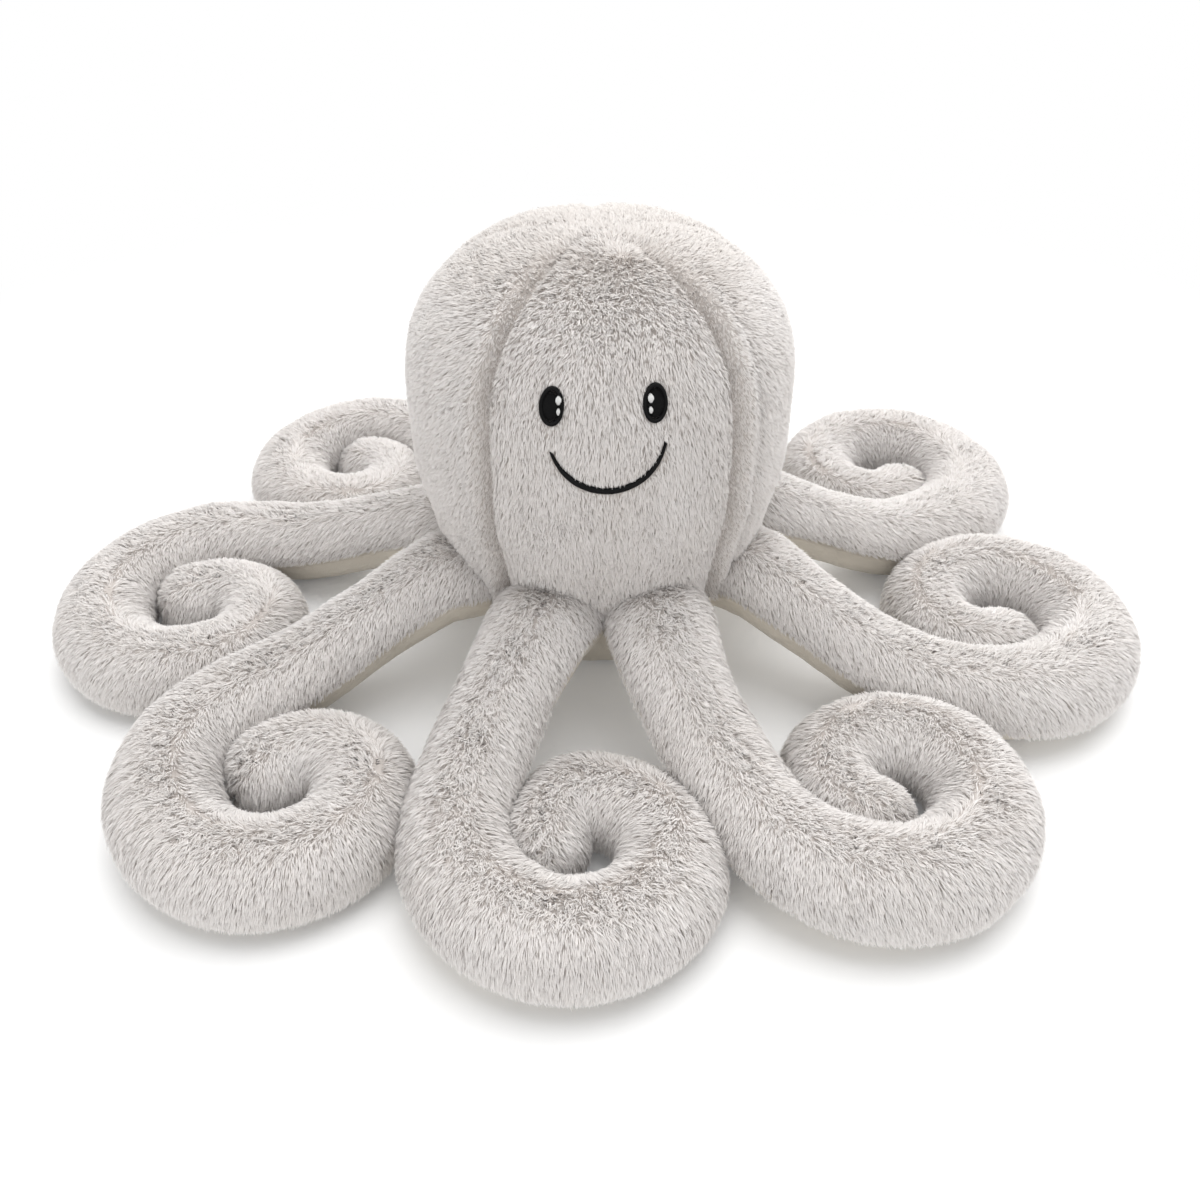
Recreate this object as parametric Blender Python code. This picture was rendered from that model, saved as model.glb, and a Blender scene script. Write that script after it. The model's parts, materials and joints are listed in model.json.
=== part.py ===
"""Plush octopus: a sewn, stuffed soft toy with a domed head and eight curled tentacles.

Metres, +Z up. The face looks towards -Y. The origin is on the floor under the middle of
the head, which rests on a flat cream base with a pouch of pellets behind it.
"""

import math

import bmesh
import bpy
from mathutils import Matrix, Vector

for leftover in list(bpy.data.objects):
    bpy.data.objects.remove(leftover, do_unlink=True)

# Fabric thickness, the seam gap between neighbours, and the play around a tentacle's root
SKIN = 0.0015
GAP = 0.0003
SOCKET_PLAY = 0.0009
HEM_PLAY = 0.0022
MERGE_SHARE = 0.1

# Head: a full crown on upright sides that draw in towards the hem over the tentacles
HEAD_RADIUS = 0.095
HEAD_TOP = 0.2303
SHOULDER_HEIGHT = 0.155
WAIST_HEIGHT = 0.115
HEM_HEIGHT = 0.089
HEM_RADIUS = 0.0885
CROWN_FULLNESS = 2.435
POLE_RADIUS = 0.0009

# Seam between the head panels and the base, and the base's bowl down to its flat
RIM_HEIGHT = 0.056
RIM_RADIUS = 0.083
BOWL_HEIGHT = 0.020
BOWL_RADIUS = 0.071
BASE_FLAT_RADIUS = 0.045
BOWL_CORNER_SHARE = 0.5

# Pellet pouch on the base: a low bag, fullest at half its height
POUCH_RADIUS = 0.036
POUCH_HEIGHT = 0.030
POUCH_FLAT_RADIUS = 0.024
POUCH_SHOULDER_SHARE = 0.88

# Head panels: the face panel is a little wider than the other four
FACE_SEAM_ANGLE = -124.0
FACE_PANEL_ANGLE = 76.0
PANEL_NAMES = (
    "face_panel", "right_side_panel", "back_right_panel", "back_left_panel", "left_side_panel",
)

# Tentacle tube: half width and half height where it is fullest, and its two ends as shares
TUBE_HALF_WIDTH = 0.0232
TUBE_HALF_HEIGHT = 0.0230
ROOT_SHARE = 0.93
TIP_SHARE = 0.68
TAPER_START_SHARE = 0.38

# Angles from the tube's top where its panels meet and where its flat underside starts
SEAM_ANGLE = 108.0
FLAT_ANGLE = 160.0
SIDE_ANGLE = 75.0
TOP_ANGLES = (-SEAM_ANGLE, -SIDE_ANGLE, -40.0, 0.0, 40.0, SIDE_ANGLE, SEAM_ANGLE)
UNDER_ANGLES = (SEAM_ANGLE, FLAT_ANGLE, 360.0 - FLAT_ANGLE, 360.0 - SEAM_ANGLE)
CORE_ANGLES = (0.0, SIDE_ANGLE) + UNDER_ANGLES + (360.0 - SIDE_ANGLE,)

# Root of a tentacle in its own plan: outward and to its left, from the head's axis
ROOT_REACH = 0.0935
ROOT_SIDE = -0.0185
ROOT_HEIGHT = 0.061
ROOT_LEAN = -21.0
FALL_LENGTH = 0.105
SWELL_LENGTH = 0.160

# Curl: its centre in the same plan, its first and last radius, and how far it winds
CURL_REACH = 0.2137
CURL_SIDE = 0.0284
CURL_START_RADIUS = 0.0686
CURL_END_RADIUS = 0.0243
CURL_START_ANGLE = -95.8
CURL_TURN = 356.4
CURL_HASTE_SHARE = 0.386
ARM_LEAVE = 0.033
ARM_MEET = 0.025

# The tentacles, clockwise from the front seen from above: direction in degrees, and how far
# each reaches and how high its root sits as shares of the lengths above
TENTACLE_NAMES = (
    "front", "front_left", "left", "back_left", "back", "back_right", "right", "front_right",
)
TENTACLE_ANGLES = (-99.1, -140.1, -179.8, 136.9, 80.6, 25.5, -15.0, -56.6)
REACH_SHARES = (0.892, 0.997, 1.046, 0.93, 0.98, 1.007, 1.016, 0.957)
ROOT_HEIGHT_SHARES = (1.00, 0.98, 0.84, 0.96, 0.96, 0.98, 0.96, 1.00)

# A root bends about a level line, turned from square so that lifted curls fan past each other
HINGE_TURN = 20.0

# Eyes of satin stitch: angle round the head, height as a share of the head's, and tilt
STITCH_RISE = 0.0012
EYE_HALF_WIDTH = 0.0055
EYE_HALF_HEIGHT = 0.0083
EYE_NAMES = ("left_eye", "right_eye")
EYE_ANGLES = (-103.0, -75.1)
EYE_HEIGHT_SHARES = (0.8063, 0.8107)
EYE_TILTS = (0.0, -5.0)

# Rings of an oval patch, outside to middle: their size and their rise
OVAL_SIZE_SHARES = (0.97, 1.0, 0.7, 0.25)
OVAL_RISE_SHARES = (0.0, 0.5, 0.9, 1.0)

# White glints on the eyes: place across and up from the eye's middle, then half width and
# half height, all as shares of the eye's own half width and half height
GLINT_RISE = 0.0006
GLINT_NAMES = (("left_eye_upper_glint", "left_eye_lower_glint"),
               ("right_eye_upper_glint", "right_eye_lower_glint"))
GLINT_SHARES = (((0.59, 0.37, 0.27, 0.25), (0.65, -0.20, 0.20, 0.20)),
                ((-0.34, 0.29, 0.27, 0.26), (-0.40, -0.28, 0.20, 0.20)))

# Smile: an arc of the same stitch, about a middle above it, that thins towards its ends
MOUTH_ANGLE = -88.0
MOUTH_HEIGHT = 0.1744
MOUTH_HALF_WIDTH = 0.0255
MOUTH_HALF_HEIGHT = 0.0267
MOUTH_ENDS = (-72.0, 80.0)
MOUTH_BAND = 0.0013
MOUTH_END_SHARE = 0.45
MOUTH_REACH_SHARES = (-1.0, -1.0, -0.5, 0.5, 1.0, 1.0)
MOUTH_RISE_SHARES = (0.0, 0.4, 1.0, 1.0, 0.4, 0.0)

# Facet counts
CROWN_ROWS = 6
SIDE_STEPS = 6
ROUND_STEPS = 30
ARM_STEPS = 4
CURL_STEPS = 12
ROOT_CAP_ANGLES = (88.0, 62.0, 32.0)
TIP_CAP_ANGLES = (45.0, 86.0)
OVAL_STEPS = 16
MOUTH_STEPS = 18
BALL_LEVELS = 3
ARCH_STEPS = 24


def material(name, colour, roughness):
    made = bpy.data.materials.new(name)
    made.use_nodes = True
    shader = made.node_tree.nodes["Principled BSDF"]
    shader.inputs["Base Color"].default_value = (*colour, 1.0)
    shader.inputs["Roughness"].default_value = roughness
    shader.inputs["Metallic"].default_value = 0.0
    return made


PLUSH = material("grey_plush", (0.62, 0.59, 0.56), 0.95)
SUEDE = material("cream_suede", (0.72, 0.66, 0.56), 0.90)
FILLING = material("fibre_filling", (0.90, 0.90, 0.88), 1.00)
PELLETS = material("pellet_pouch_cloth", (0.80, 0.80, 0.76), 0.85)
BLACK_THREAD = material("black_thread", (0.012, 0.012, 0.014), 0.45)
WHITE_THREAD = material("white_thread", (0.90, 0.90, 0.90), 0.50)


def add_object(name, shape, finish):
    """Turn a bmesh into a named object with one material and soft shading."""
    bmesh.ops.recalc_face_normals(shape, faces=shape.faces)
    mesh = bpy.data.meshes.new(name)
    shape.to_mesh(mesh)
    shape.free()
    mesh.materials.append(finish)
    mesh.shade_smooth()
    made = bpy.data.objects.new(name, mesh)
    bpy.context.scene.collection.objects.link(made)
    return made


def cut_by(target, cutter):
    """Cut one object out of another, which keeps the cutter out of the model."""
    cut = target.modifiers.new("cut_" + cutter.name, "BOOLEAN")
    cut.operation = "DIFFERENCE"
    cut.solver = "EXACT"
    cut.object = cutter
    cutter.hide_render = True
    cutter.display_type = "WIRE"


def skin_between(name, outer, inner, finish):
    """A closed sheet of fabric between two open grids of points with the same rows."""
    shape = bmesh.new()
    grids = [[[shape.verts.new(point) for point in row] for row in grid] for grid in (outer, inner)]
    for grid in grids:
        for row, following in zip(grid, grid[1:]):
            for i in range(len(row) - 1):
                shape.faces.new((row[i], row[i + 1], following[i + 1], following[i]))
    borders = [
        grid[0] + [row[-1] for row in grid[1:-1]] + grid[-1][::-1] + [row[0] for row in grid[-2:0:-1]]
        for grid in grids
    ]
    for i in range(len(borders[0])):
        j = (i + 1) % len(borders[0])
        shape.faces.new((borders[0][i], borders[0][j], borders[1][j], borders[1][i]))
    return add_object(name, shape, finish)


def loft(name, rings, finish):
    """A closed solid through rings of points, its two ends filled."""
    shape = bmesh.new()
    rows = [[shape.verts.new(point) for point in ring] for ring in rings]
    for row, following in zip(rows, rows[1:]):
        for i in range(len(row)):
            j = (i + 1) % len(row)
            shape.faces.new((row[i], row[j], following[j], following[i]))
    shape.faces.new(rows[0])
    shape.faces.new(rows[-1])
    return add_object(name, shape, finish)


def turned(profile, steps):
    """Spin a profile of (radius, height) points round the head's axis."""
    shape = bmesh.new()
    verts = [shape.verts.new((radius, 0.0, height)) for radius, height in profile]
    edges = [shape.edges.new(pair) for pair in zip(verts, verts[1:])]
    bmesh.ops.spin(
        shape, geom=verts + edges, cent=(0.0, 0.0, 0.0), axis=(0.0, 0.0, 1.0),
        angle=math.tau, steps=steps, use_merge=True,
    )
    bmesh.ops.remove_doubles(shape, verts=shape.verts, dist=GAP * MERGE_SHARE)
    return shape


def crown_point(share, inset):
    """A point of the crown's profile: share 0 is the pole and 1 the shoulder."""
    angle = math.radians(90.0) * (1.0 - share)
    power = 2.0 / CROWN_FULLNESS
    radius = (HEAD_RADIUS - inset) * math.cos(angle) ** power
    height = SHOULDER_HEIGHT + (HEAD_TOP - inset - SHOULDER_HEIGHT) * math.sin(angle) ** power
    return radius, height


def head_profile(inset):
    """The head's outline from its pole to the rim of the base, set in by a fabric or two."""
    crown = [crown_point((row + 1) / CROWN_ROWS, inset) for row in range(CROWN_ROWS)]
    pole = (POLE_RADIUS, HEAD_TOP - inset)
    return [pole] + crown + [
        (HEAD_RADIUS - inset, WAIST_HEIGHT),
        (HEM_RADIUS - inset, HEM_HEIGHT),
        (RIM_RADIUS - inset, RIM_HEIGHT),
    ]


def base_profile(inset):
    """The base's outline from its rim down its bowl to the flat that it rests on."""
    return [
        (RIM_RADIUS - inset, RIM_HEIGHT),
        (BOWL_RADIUS - inset, BOWL_HEIGHT + inset * BOWL_CORNER_SHARE),
        (BASE_FLAT_RADIUS, inset),
        (0.0, inset),
    ]


def head_radius(height):
    if height > SHOULDER_HEIGHT:
        share = (height - SHOULDER_HEIGHT) / (HEAD_TOP - SHOULDER_HEIGHT)
        return HEAD_RADIUS * (1.0 - share ** CROWN_FULLNESS) ** (1.0 / CROWN_FULLNESS)
    return HEAD_RADIUS


def on_head(angle, height, lift):
    """A point over the head's surface, lifted square to it."""
    radius = head_radius(height)
    out = (radius / HEAD_RADIUS) ** (CROWN_FULLNESS - 1.0) / HEAD_RADIUS
    rise = max(0.0, height - SHOULDER_HEIGHT) / (HEAD_TOP - SHOULDER_HEIGHT)
    up = rise ** (CROWN_FULLNESS - 1.0) / (HEAD_TOP - SHOULDER_HEIGHT)
    normal = Vector((out, up)).normalized()
    radius += lift * normal.x
    turn = math.radians(angle)
    return Vector((radius * math.cos(turn), radius * math.sin(turn), height + lift * normal.y))


def beside(angle, height, across, along, lift):
    """A point a short way across and up the head's surface from a place on it."""
    radius = head_radius(height)
    step = GAP
    slope = (on_head(angle, height + step, 0.0) - on_head(angle, height, 0.0)).length / step
    return on_head(angle + math.degrees(across / radius), height + along / slope, lift)


def smooth(share):
    share = min(1.0, max(0.0, share))
    return share * share * (3.0 - 2.0 * share)


def curl_point(share, reach):
    """A point of the curl's centreline, which tightens faster at first."""
    wound = share + CURL_HASTE_SHARE * share * (1.0 - share)
    radius = CURL_START_RADIUS + (CURL_END_RADIUS - CURL_START_RADIUS) * wound
    angle = math.radians(CURL_START_ANGLE + CURL_TURN * share)
    centre = Vector((CURL_REACH, CURL_SIDE))
    return (centre + radius * Vector((math.cos(angle), math.sin(angle)))) * reach


def plan_points(reach):
    """The tentacle's centreline in plan: a bowed arm from the root, then the curl."""
    root = Vector((ROOT_REACH, ROOT_SIDE))
    lean = math.radians(ROOT_LEAN)
    start = curl_point(0.0, reach)
    heading = (curl_point(0.5 / CURL_STEPS, reach) - start).normalized()
    leave = root + ARM_LEAVE * reach * Vector((math.cos(lean), math.sin(lean)))
    meet = start - ARM_MEET * reach * heading
    points = []
    for step in range(ARM_STEPS):
        t = step / ARM_STEPS
        s = 1.0 - t
        points.append(s ** 3 * root + 3 * s * s * t * leave + 3 * s * t * t * meet + t ** 3 * start)
    points += [curl_point(step / CURL_STEPS, reach) for step in range(CURL_STEPS + 1)]
    return points


def stations(direction, reach, root_share):
    """Centre, heading, half width and half height of the tube along one tentacle."""
    plan = plan_points(reach)
    lengths = [0.0]
    for point, following in zip(plan, plan[1:]):
        lengths.append(lengths[-1] + (following - point).length)
    turn = Matrix.Rotation(math.radians(direction), 2)
    root_height = ROOT_HEIGHT * root_share
    made = []
    for i, point in enumerate(plan):
        before = plan[max(0, i - 1)]
        after = plan[min(len(plan) - 1, i + 1)]
        heading = (turn @ (after - before)).normalized()
        share = lengths[i] / lengths[-1]
        fullness = 1.0 - (1.0 - TIP_SHARE) * smooth((share - TAPER_START_SHARE) / (1.0 - TAPER_START_SHARE))
        fullness *= ROOT_SHARE + (1.0 - ROOT_SHARE) * smooth(lengths[i] / SWELL_LENGTH)
        half_height = TUBE_HALF_HEIGHT * fullness
        floor_height = -half_height * math.cos(math.radians(FLAT_ANGLE))
        fall = max(0.0, 1.0 - lengths[i] / FALL_LENGTH)
        height = floor_height + (root_height - floor_height) * fall * fall * (2.0 - fall)
        place = turn @ point
        made.append((Vector((*place, height)), heading, TUBE_HALF_WIDTH * fullness, half_height))
    return made


def ring(centre, heading, half_width, half_height, angles):
    side = Vector((-heading.y, heading.x, 0.0))
    up = Vector((0.0, 0.0, 1.0))
    return [
        centre + half_width * math.sin(math.radians(a)) * side + half_height * math.cos(math.radians(a)) * up
        for a in angles
    ]


def tube_rings(line, inset, angles):
    """Rings of the tube, set in from its surface, with a rounded root and tip."""
    rings = []
    centre, heading, half_width, half_height = line[0]
    ahead = Vector((*heading, 0.0))
    for cap in ROOT_CAP_ANGLES:
        shrink = math.cos(math.radians(cap))
        back = (half_width - inset) * math.sin(math.radians(cap))
        rings.append(ring(
            centre - back * ahead, heading, (half_width - inset) * shrink,
            (half_height - inset) * shrink, angles,
        ))
    for centre, heading, half_width, half_height in line:
        rings.append(ring(centre, heading, half_width - inset, half_height - inset, angles))
    ahead = Vector((*heading, 0.0))
    for cap in TIP_CAP_ANGLES:
        shrink = math.cos(math.radians(cap))
        on = (half_width - inset) * math.sin(math.radians(cap))
        rings.append(ring(
            centre + on * ahead, heading, (half_width - inset) * shrink,
            (half_height - inset) * shrink, angles,
        ))
    return rings


def seam_angles(angles, half_width):
    """The same angles with the two outermost drawn in by half a seam gap."""
    draw = math.degrees(GAP / 2 / half_width)
    return (angles[0] + draw,) + tuple(angles[1:-1]) + (angles[-1] - draw,)


def make_tentacle(name, direction, reach, root_share):
    """One tentacle: a plush upper, a suede underside and the filling inside them."""
    line = stations(direction, reach, root_share)
    upper = seam_angles(TOP_ANGLES, TUBE_HALF_WIDTH)
    under = seam_angles(UNDER_ANGLES, TUBE_HALF_WIDTH)
    pivot = bpy.data.objects.new(name + "_root", None)
    pivot.location = line[0][0]
    pivot.rotation_euler.z = math.radians(direction + HINGE_TURN - 90.0)
    bpy.context.scene.collection.objects.link(pivot)
    made = [
        skin_between(
            name + "_tentacle_plush", tube_rings(line, 0.0, upper), tube_rings(line, SKIN, upper), PLUSH,
        ),
        skin_between(
            name + "_tentacle_underside", tube_rings(line, 0.0, under), tube_rings(line, SKIN, under), SUEDE,
        ),
        loft(name + "_tentacle_filling", tube_rings(line, SKIN + GAP, CORE_ANGLES), FILLING),
    ]
    for piece in made:
        piece.parent = pivot
        piece.matrix_parent_inverse = (
            Matrix.Translation(pivot.location) @ pivot.rotation_euler.to_matrix().to_4x4()
        ).inverted()
    return line[0]


def socket_cutter(roots):
    """Balls round the tentacle roots, to cut the sockets that they turn in."""
    shape = bmesh.new()
    for centre, _, half_width, _ in roots:
        bmesh.ops.create_icosphere(
            shape, subdivisions=BALL_LEVELS, radius=half_width + SOCKET_PLAY,
            matrix=Matrix.Translation(centre),
        )
    return add_object("socket_cutter", shape, FILLING)


def hem_cutter(roots):
    """Level rods through the skins at the roots, to cut the arches of the hem."""
    shape = bmesh.new()
    for centre, heading, half_width, _ in roots:
        ahead = Vector((*heading, 0.0))
        bmesh.ops.create_cone(
            shape, cap_ends=True, segments=ARCH_STEPS, radius1=half_width + HEM_PLAY,
            radius2=half_width + HEM_PLAY, depth=2 * TUBE_HALF_WIDTH,
            matrix=Matrix.Translation(centre) @ ahead.to_track_quat("Z", "Y").to_matrix().to_4x4(),
        )
    return add_object("hem_cutter", shape, FILLING)


def make_head_filling(sockets):
    """The head's stuffing, with the tentacle sockets and a recess for the pellet pouch."""
    facet_depth = HEAD_RADIUS * (1.0 - math.cos(math.radians(FACE_PANEL_ANGLE / SIDE_STEPS / 2)))
    inset = SKIN + facet_depth + GAP
    top = [(0.0, HEAD_TOP - inset)] + head_profile(inset)[1:-1]
    filling = add_object("head_filling", turned(top + base_profile(inset), ROUND_STEPS), FILLING)
    cut_by(filling, sockets)
    recess = add_object("pouch_recess", turned(pouch_profile(-GAP, 0.0), ROUND_STEPS), FILLING)
    cut_by(filling, recess)


def pouch_profile(inset, foot):
    """The pellet pouch's outline from its top to its flat, which starts at foot."""
    seat = SKIN + GAP
    return [
        (0.0, seat + POUCH_HEIGHT - inset),
        (POUCH_FLAT_RADIUS, seat + POUCH_HEIGHT * POUCH_SHOULDER_SHARE - inset),
        (POUCH_RADIUS - inset, seat + POUCH_HEIGHT / 2),
        (POUCH_RADIUS - inset, foot),
        (0.0, foot),
    ]


def make_panel(name, start, angle, hems):
    """One head panel: a gore of fabric between two seams, cut out over the tentacles."""
    grids = []
    for inset in (0.0, SKIN):
        rows = []
        for radius, height in head_profile(inset):
            draw = math.degrees(math.asin(GAP / 2 / radius))
            turns = [start + draw + (angle - 2 * draw) * step / SIDE_STEPS for step in range(SIDE_STEPS + 1)]
            rows.append([
                Vector((radius * math.cos(math.radians(t)), radius * math.sin(math.radians(t)), height))
                for t in turns
            ])
        grids.append(rows)
    panel = skin_between(name, grids[0], grids[1], PLUSH)
    cut_by(panel, hems)


def make_base(hems):
    """The cream base: a bowl with a flat, its rim scalloped round the tentacles."""
    outside = base_profile(0.0)
    inside = base_profile(SKIN)
    for wall in (outside, inside):
        wall[0] = (wall[0][0], RIM_HEIGHT - GAP)
    base = add_object("base_panel", turned(outside[::-1] + inside, ROUND_STEPS), SUEDE)
    cut_by(base, hems)


def make_pouch():
    profile = pouch_profile(0.0, SKIN + GAP)
    profile[-2] = (POUCH_FLAT_RADIUS, SKIN + GAP)
    profile[-3] = (POUCH_RADIUS, SKIN + GAP + POUCH_HEIGHT / 2)
    add_object("pellet_pouch", turned(profile, ROUND_STEPS), PELLETS)


def oval(name, place, middle, half_width, half_height, tilt, seat, rise, finish):
    """A patch of satin stitch near a place on the face: an oval with a flat back and a low crown."""
    lean = math.radians(tilt)
    rings = []
    for size_share, rise_share in zip(OVAL_SIZE_SHARES, OVAL_RISE_SHARES):
        points = []
        for step in range(OVAL_STEPS):
            turn = math.tau * step / OVAL_STEPS
            across = half_width * size_share * math.cos(turn)
            along = half_height * size_share * math.sin(turn)
            points.append(beside(
                *place,
                middle[0] + across * math.cos(lean) - along * math.sin(lean),
                middle[1] + across * math.sin(lean) + along * math.cos(lean),
                seat + rise * rise_share,
            ))
        rings.append(points)
    loft(name, rings, finish)


def make_eye(name, angle, height_share, tilt, glint_names, glint_shares):
    """An eye and its two glints."""
    place = (angle, HEAD_TOP * height_share)
    oval(name, place, (0.0, 0.0), EYE_HALF_WIDTH, EYE_HALF_HEIGHT, tilt,
         GAP, STITCH_RISE, BLACK_THREAD)
    for glint, (across, along, width_share, height_share) in zip(glint_names, glint_shares):
        oval(glint, place, (EYE_HALF_WIDTH * across, EYE_HALF_HEIGHT * along),
             EYE_HALF_WIDTH * width_share, EYE_HALF_HEIGHT * height_share, 0.0,
             GAP + STITCH_RISE + GAP, GLINT_RISE, WHITE_THREAD)


def make_mouth():
    """The smile: a raised arc of satin stitch that thins towards its ends."""
    rings = []
    for step in range(MOUTH_STEPS + 1):
        share = step / MOUTH_STEPS
        turn = math.radians(MOUTH_ENDS[0] + (MOUTH_ENDS[1] - MOUTH_ENDS[0]) * share)
        fullness = math.sqrt(math.sin(math.pi * share))
        band = MOUTH_BAND * (MOUTH_END_SHARE + (1.0 - MOUTH_END_SHARE) * fullness)
        points = []
        for reach, rise_share in zip(MOUTH_REACH_SHARES, MOUTH_RISE_SHARES):
            across = (MOUTH_HALF_WIDTH + band * reach) * math.sin(turn)
            along = -(MOUTH_HALF_HEIGHT + band * reach) * math.cos(turn)
            points.append(beside(
                MOUTH_ANGLE, MOUTH_HEIGHT, across, along, GAP + STITCH_RISE * rise_share,
            ))
        rings.append(points)
    loft("mouth_stitching", rings, BLACK_THREAD)


roots = [
    make_tentacle(*row)
    for row in zip(TENTACLE_NAMES, TENTACLE_ANGLES, REACH_SHARES, ROOT_HEIGHT_SHARES)
]
sockets = socket_cutter(roots)
hems = hem_cutter(roots)

make_head_filling(sockets)
make_pouch()
make_base(hems)
seam = FACE_SEAM_ANGLE
for panel_name in PANEL_NAMES:
    width = FACE_PANEL_ANGLE
    if panel_name != "face_panel":
        width = (360.0 - FACE_PANEL_ANGLE) / (len(PANEL_NAMES) - 1)
    make_panel(panel_name, seam, width, hems)
    seam += width

for row in zip(EYE_NAMES, EYE_ANGLES, EYE_HEIGHT_SHARES, EYE_TILTS, GLINT_NAMES, GLINT_SHARES):
    make_eye(*row)
make_mouth()
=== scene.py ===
import json
import math

import bpy
import numpy as np
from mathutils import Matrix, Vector, noise
from mathutils.kdtree import KDTree


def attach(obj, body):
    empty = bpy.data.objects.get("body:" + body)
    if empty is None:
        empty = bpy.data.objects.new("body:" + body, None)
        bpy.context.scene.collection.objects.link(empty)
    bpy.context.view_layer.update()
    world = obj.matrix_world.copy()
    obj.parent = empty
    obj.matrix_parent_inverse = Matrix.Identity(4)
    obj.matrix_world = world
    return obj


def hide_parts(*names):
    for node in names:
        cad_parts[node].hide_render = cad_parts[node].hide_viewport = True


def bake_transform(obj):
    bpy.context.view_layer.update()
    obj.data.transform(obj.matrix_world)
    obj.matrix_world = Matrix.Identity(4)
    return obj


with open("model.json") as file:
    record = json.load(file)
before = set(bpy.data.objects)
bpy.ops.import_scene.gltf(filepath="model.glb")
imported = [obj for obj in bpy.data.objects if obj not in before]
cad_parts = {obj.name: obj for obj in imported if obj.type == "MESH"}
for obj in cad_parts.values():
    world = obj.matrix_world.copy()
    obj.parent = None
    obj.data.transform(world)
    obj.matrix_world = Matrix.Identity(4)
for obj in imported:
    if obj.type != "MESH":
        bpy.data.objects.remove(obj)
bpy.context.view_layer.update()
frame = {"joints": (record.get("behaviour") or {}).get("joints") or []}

# View: the photograph's camera, half a metre in front of the toy and a little above, under one
# large lamp high overhead and two small ones that lighten its front and its back.
CAMERA_PLACE = (0.0, -0.501, 0.4104)
CAMERA_PITCH = 38.73
CAMERA_LENS = 32.38
CAMERA_NEAR = 0.01
# name, place, size and power
LAMPS = (
    ("overhead_lamp", (0.45, 0.70, 4.35), 3.9, 130.0),
    ("front_lamp", (-0.7, -1.25, 0.95), 1.0, 1.9),
    ("back_lamp", (0.9, 0.9, 0.8), 0.9, 3.5),
)

view = bpy.data.objects.new("camera", bpy.data.cameras.new("camera"))
view.location = CAMERA_PLACE
view.rotation_euler = (math.radians(90 - CAMERA_PITCH), 0, 0)
view.data.lens = CAMERA_LENS
view.data.clip_start = CAMERA_NEAR
bpy.context.scene.collection.objects.link(view)
bpy.context.scene.camera = view
bpy.context.scene.view_settings.view_transform = "Standard"

for name, place, size, power in LAMPS:
    lamp = bpy.data.objects.new(name, bpy.data.lights.new(name, "AREA"))
    lamp.data.size = size
    lamp.data.energy = power
    lamp.location = place
    lamp.rotation_euler = (-Vector(place)).to_track_quat("-Z", "Y").to_euler()
    bpy.context.scene.collection.objects.link(lamp)

# Table: a seamless white table top under an even sky. It takes the toy's shadow close by and
# fades to plain white further out, and the sky looks white while its light is softer.
TABLE_SIZE = 8.0
TABLE_WHITE = (0.92, 0.92, 0.92, 1.0)
TABLE_GLOW = 0.10
TABLE_FADE = (0.36, 0.75)
SKY = (1.0, 1.0, 1.0, 1.0)
SKY_STRENGTH = 0.66


class Socket:
    """A shader node's output, which sums in Python can use."""

    def __init__(self, tree, output=None):
        self.tree = tree
        self.output = output

    def node(self, kind, inputs=(), output=0, stops=(), **settings):
        """A new node: its settings first, then its sockets, each a value or a link."""
        made = self.tree.nodes.new(kind)
        for key, value in settings.items():
            setattr(made, key, value)
        for place, colour in stops:
            spare = [e for e in made.color_ramp.elements if e.position == place]
            stop = spare[0] if spare else made.color_ramp.elements.new(place)
            stop.color = (*colour, 1.0)
        for key, value in dict(inputs).items():
            if isinstance(value, Socket):
                self.tree.links.new(value.output, made.inputs[key])
            else:
                made.inputs[key].default_value = value
        return Socket(self.tree, made.outputs[output] if made.outputs else None)

    def sum(self, operation, *terms):
        return self.node("ShaderNodeMath", enumerate(terms), operation=operation)

    def mix(self, first, second):
        """Two colours, mixed by this value."""
        return self.node(
            "ShaderNodeMix", {0: self, 6: first, 7: second}, output=2, data_type="RGBA"
        )

    def __add__(self, other):
        return self.sum("ADD", self, other)

    def __mul__(self, other):
        return self.sum("MULTIPLY", self, other)

    __radd__ = __add__
    __rmul__ = __mul__


def new_material(name, constants):
    """A material with its constants set on its shader, and a start for its nodes."""
    made = bpy.data.materials.new(name)
    made.use_nodes = True
    shader = made.node_tree.nodes["Principled BSDF"]
    for key, value in constants.items():
        shader.inputs[key].default_value = value
    return made, shader, Socket(made.node_tree)


table_white = bpy.data.materials.new("table_white")
table_white.use_nodes = True
table_tree = table_white.node_tree
table_start = Socket(table_tree)
table_tree.nodes.clear()
lit = table_start.node("ShaderNodeBsdfDiffuse", {"Color": TABLE_WHITE})
is_seen = table_start.node("ShaderNodeLightPath", output="Is Camera Ray")
glow = table_start.node("ShaderNodeEmission", {"Color": SKY, "Strength": is_seen * TABLE_GLOW})
near = table_start.node("ShaderNodeAddShader", {0: lit, 1: glow})
far = table_start.node("ShaderNodeEmission", {"Color": SKY, "Strength": 1.0})
table_place = table_start.node("ShaderNodeTexCoord", output="Object")
table_reach = table_start.node("ShaderNodeVectorMath", {0: table_place}, output="Value", operation="LENGTH")
fade = table_start.node(
    "ShaderNodeMapRange",
    {"Value": table_reach, "From Min": TABLE_FADE[0], "From Max": TABLE_FADE[1]},
    interpolation_type="SMOOTHSTEP",
)
shaded = table_start.node("ShaderNodeMixShader", {0: is_seen * fade, 1: near, 2: far})
table_start.node("ShaderNodeOutputMaterial", {"Surface": shaded})
bpy.ops.mesh.primitive_plane_add(size=TABLE_SIZE)
table_top = bpy.context.object
table_top.name = "table_top"
table_top.data.materials.append(table_white)

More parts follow.
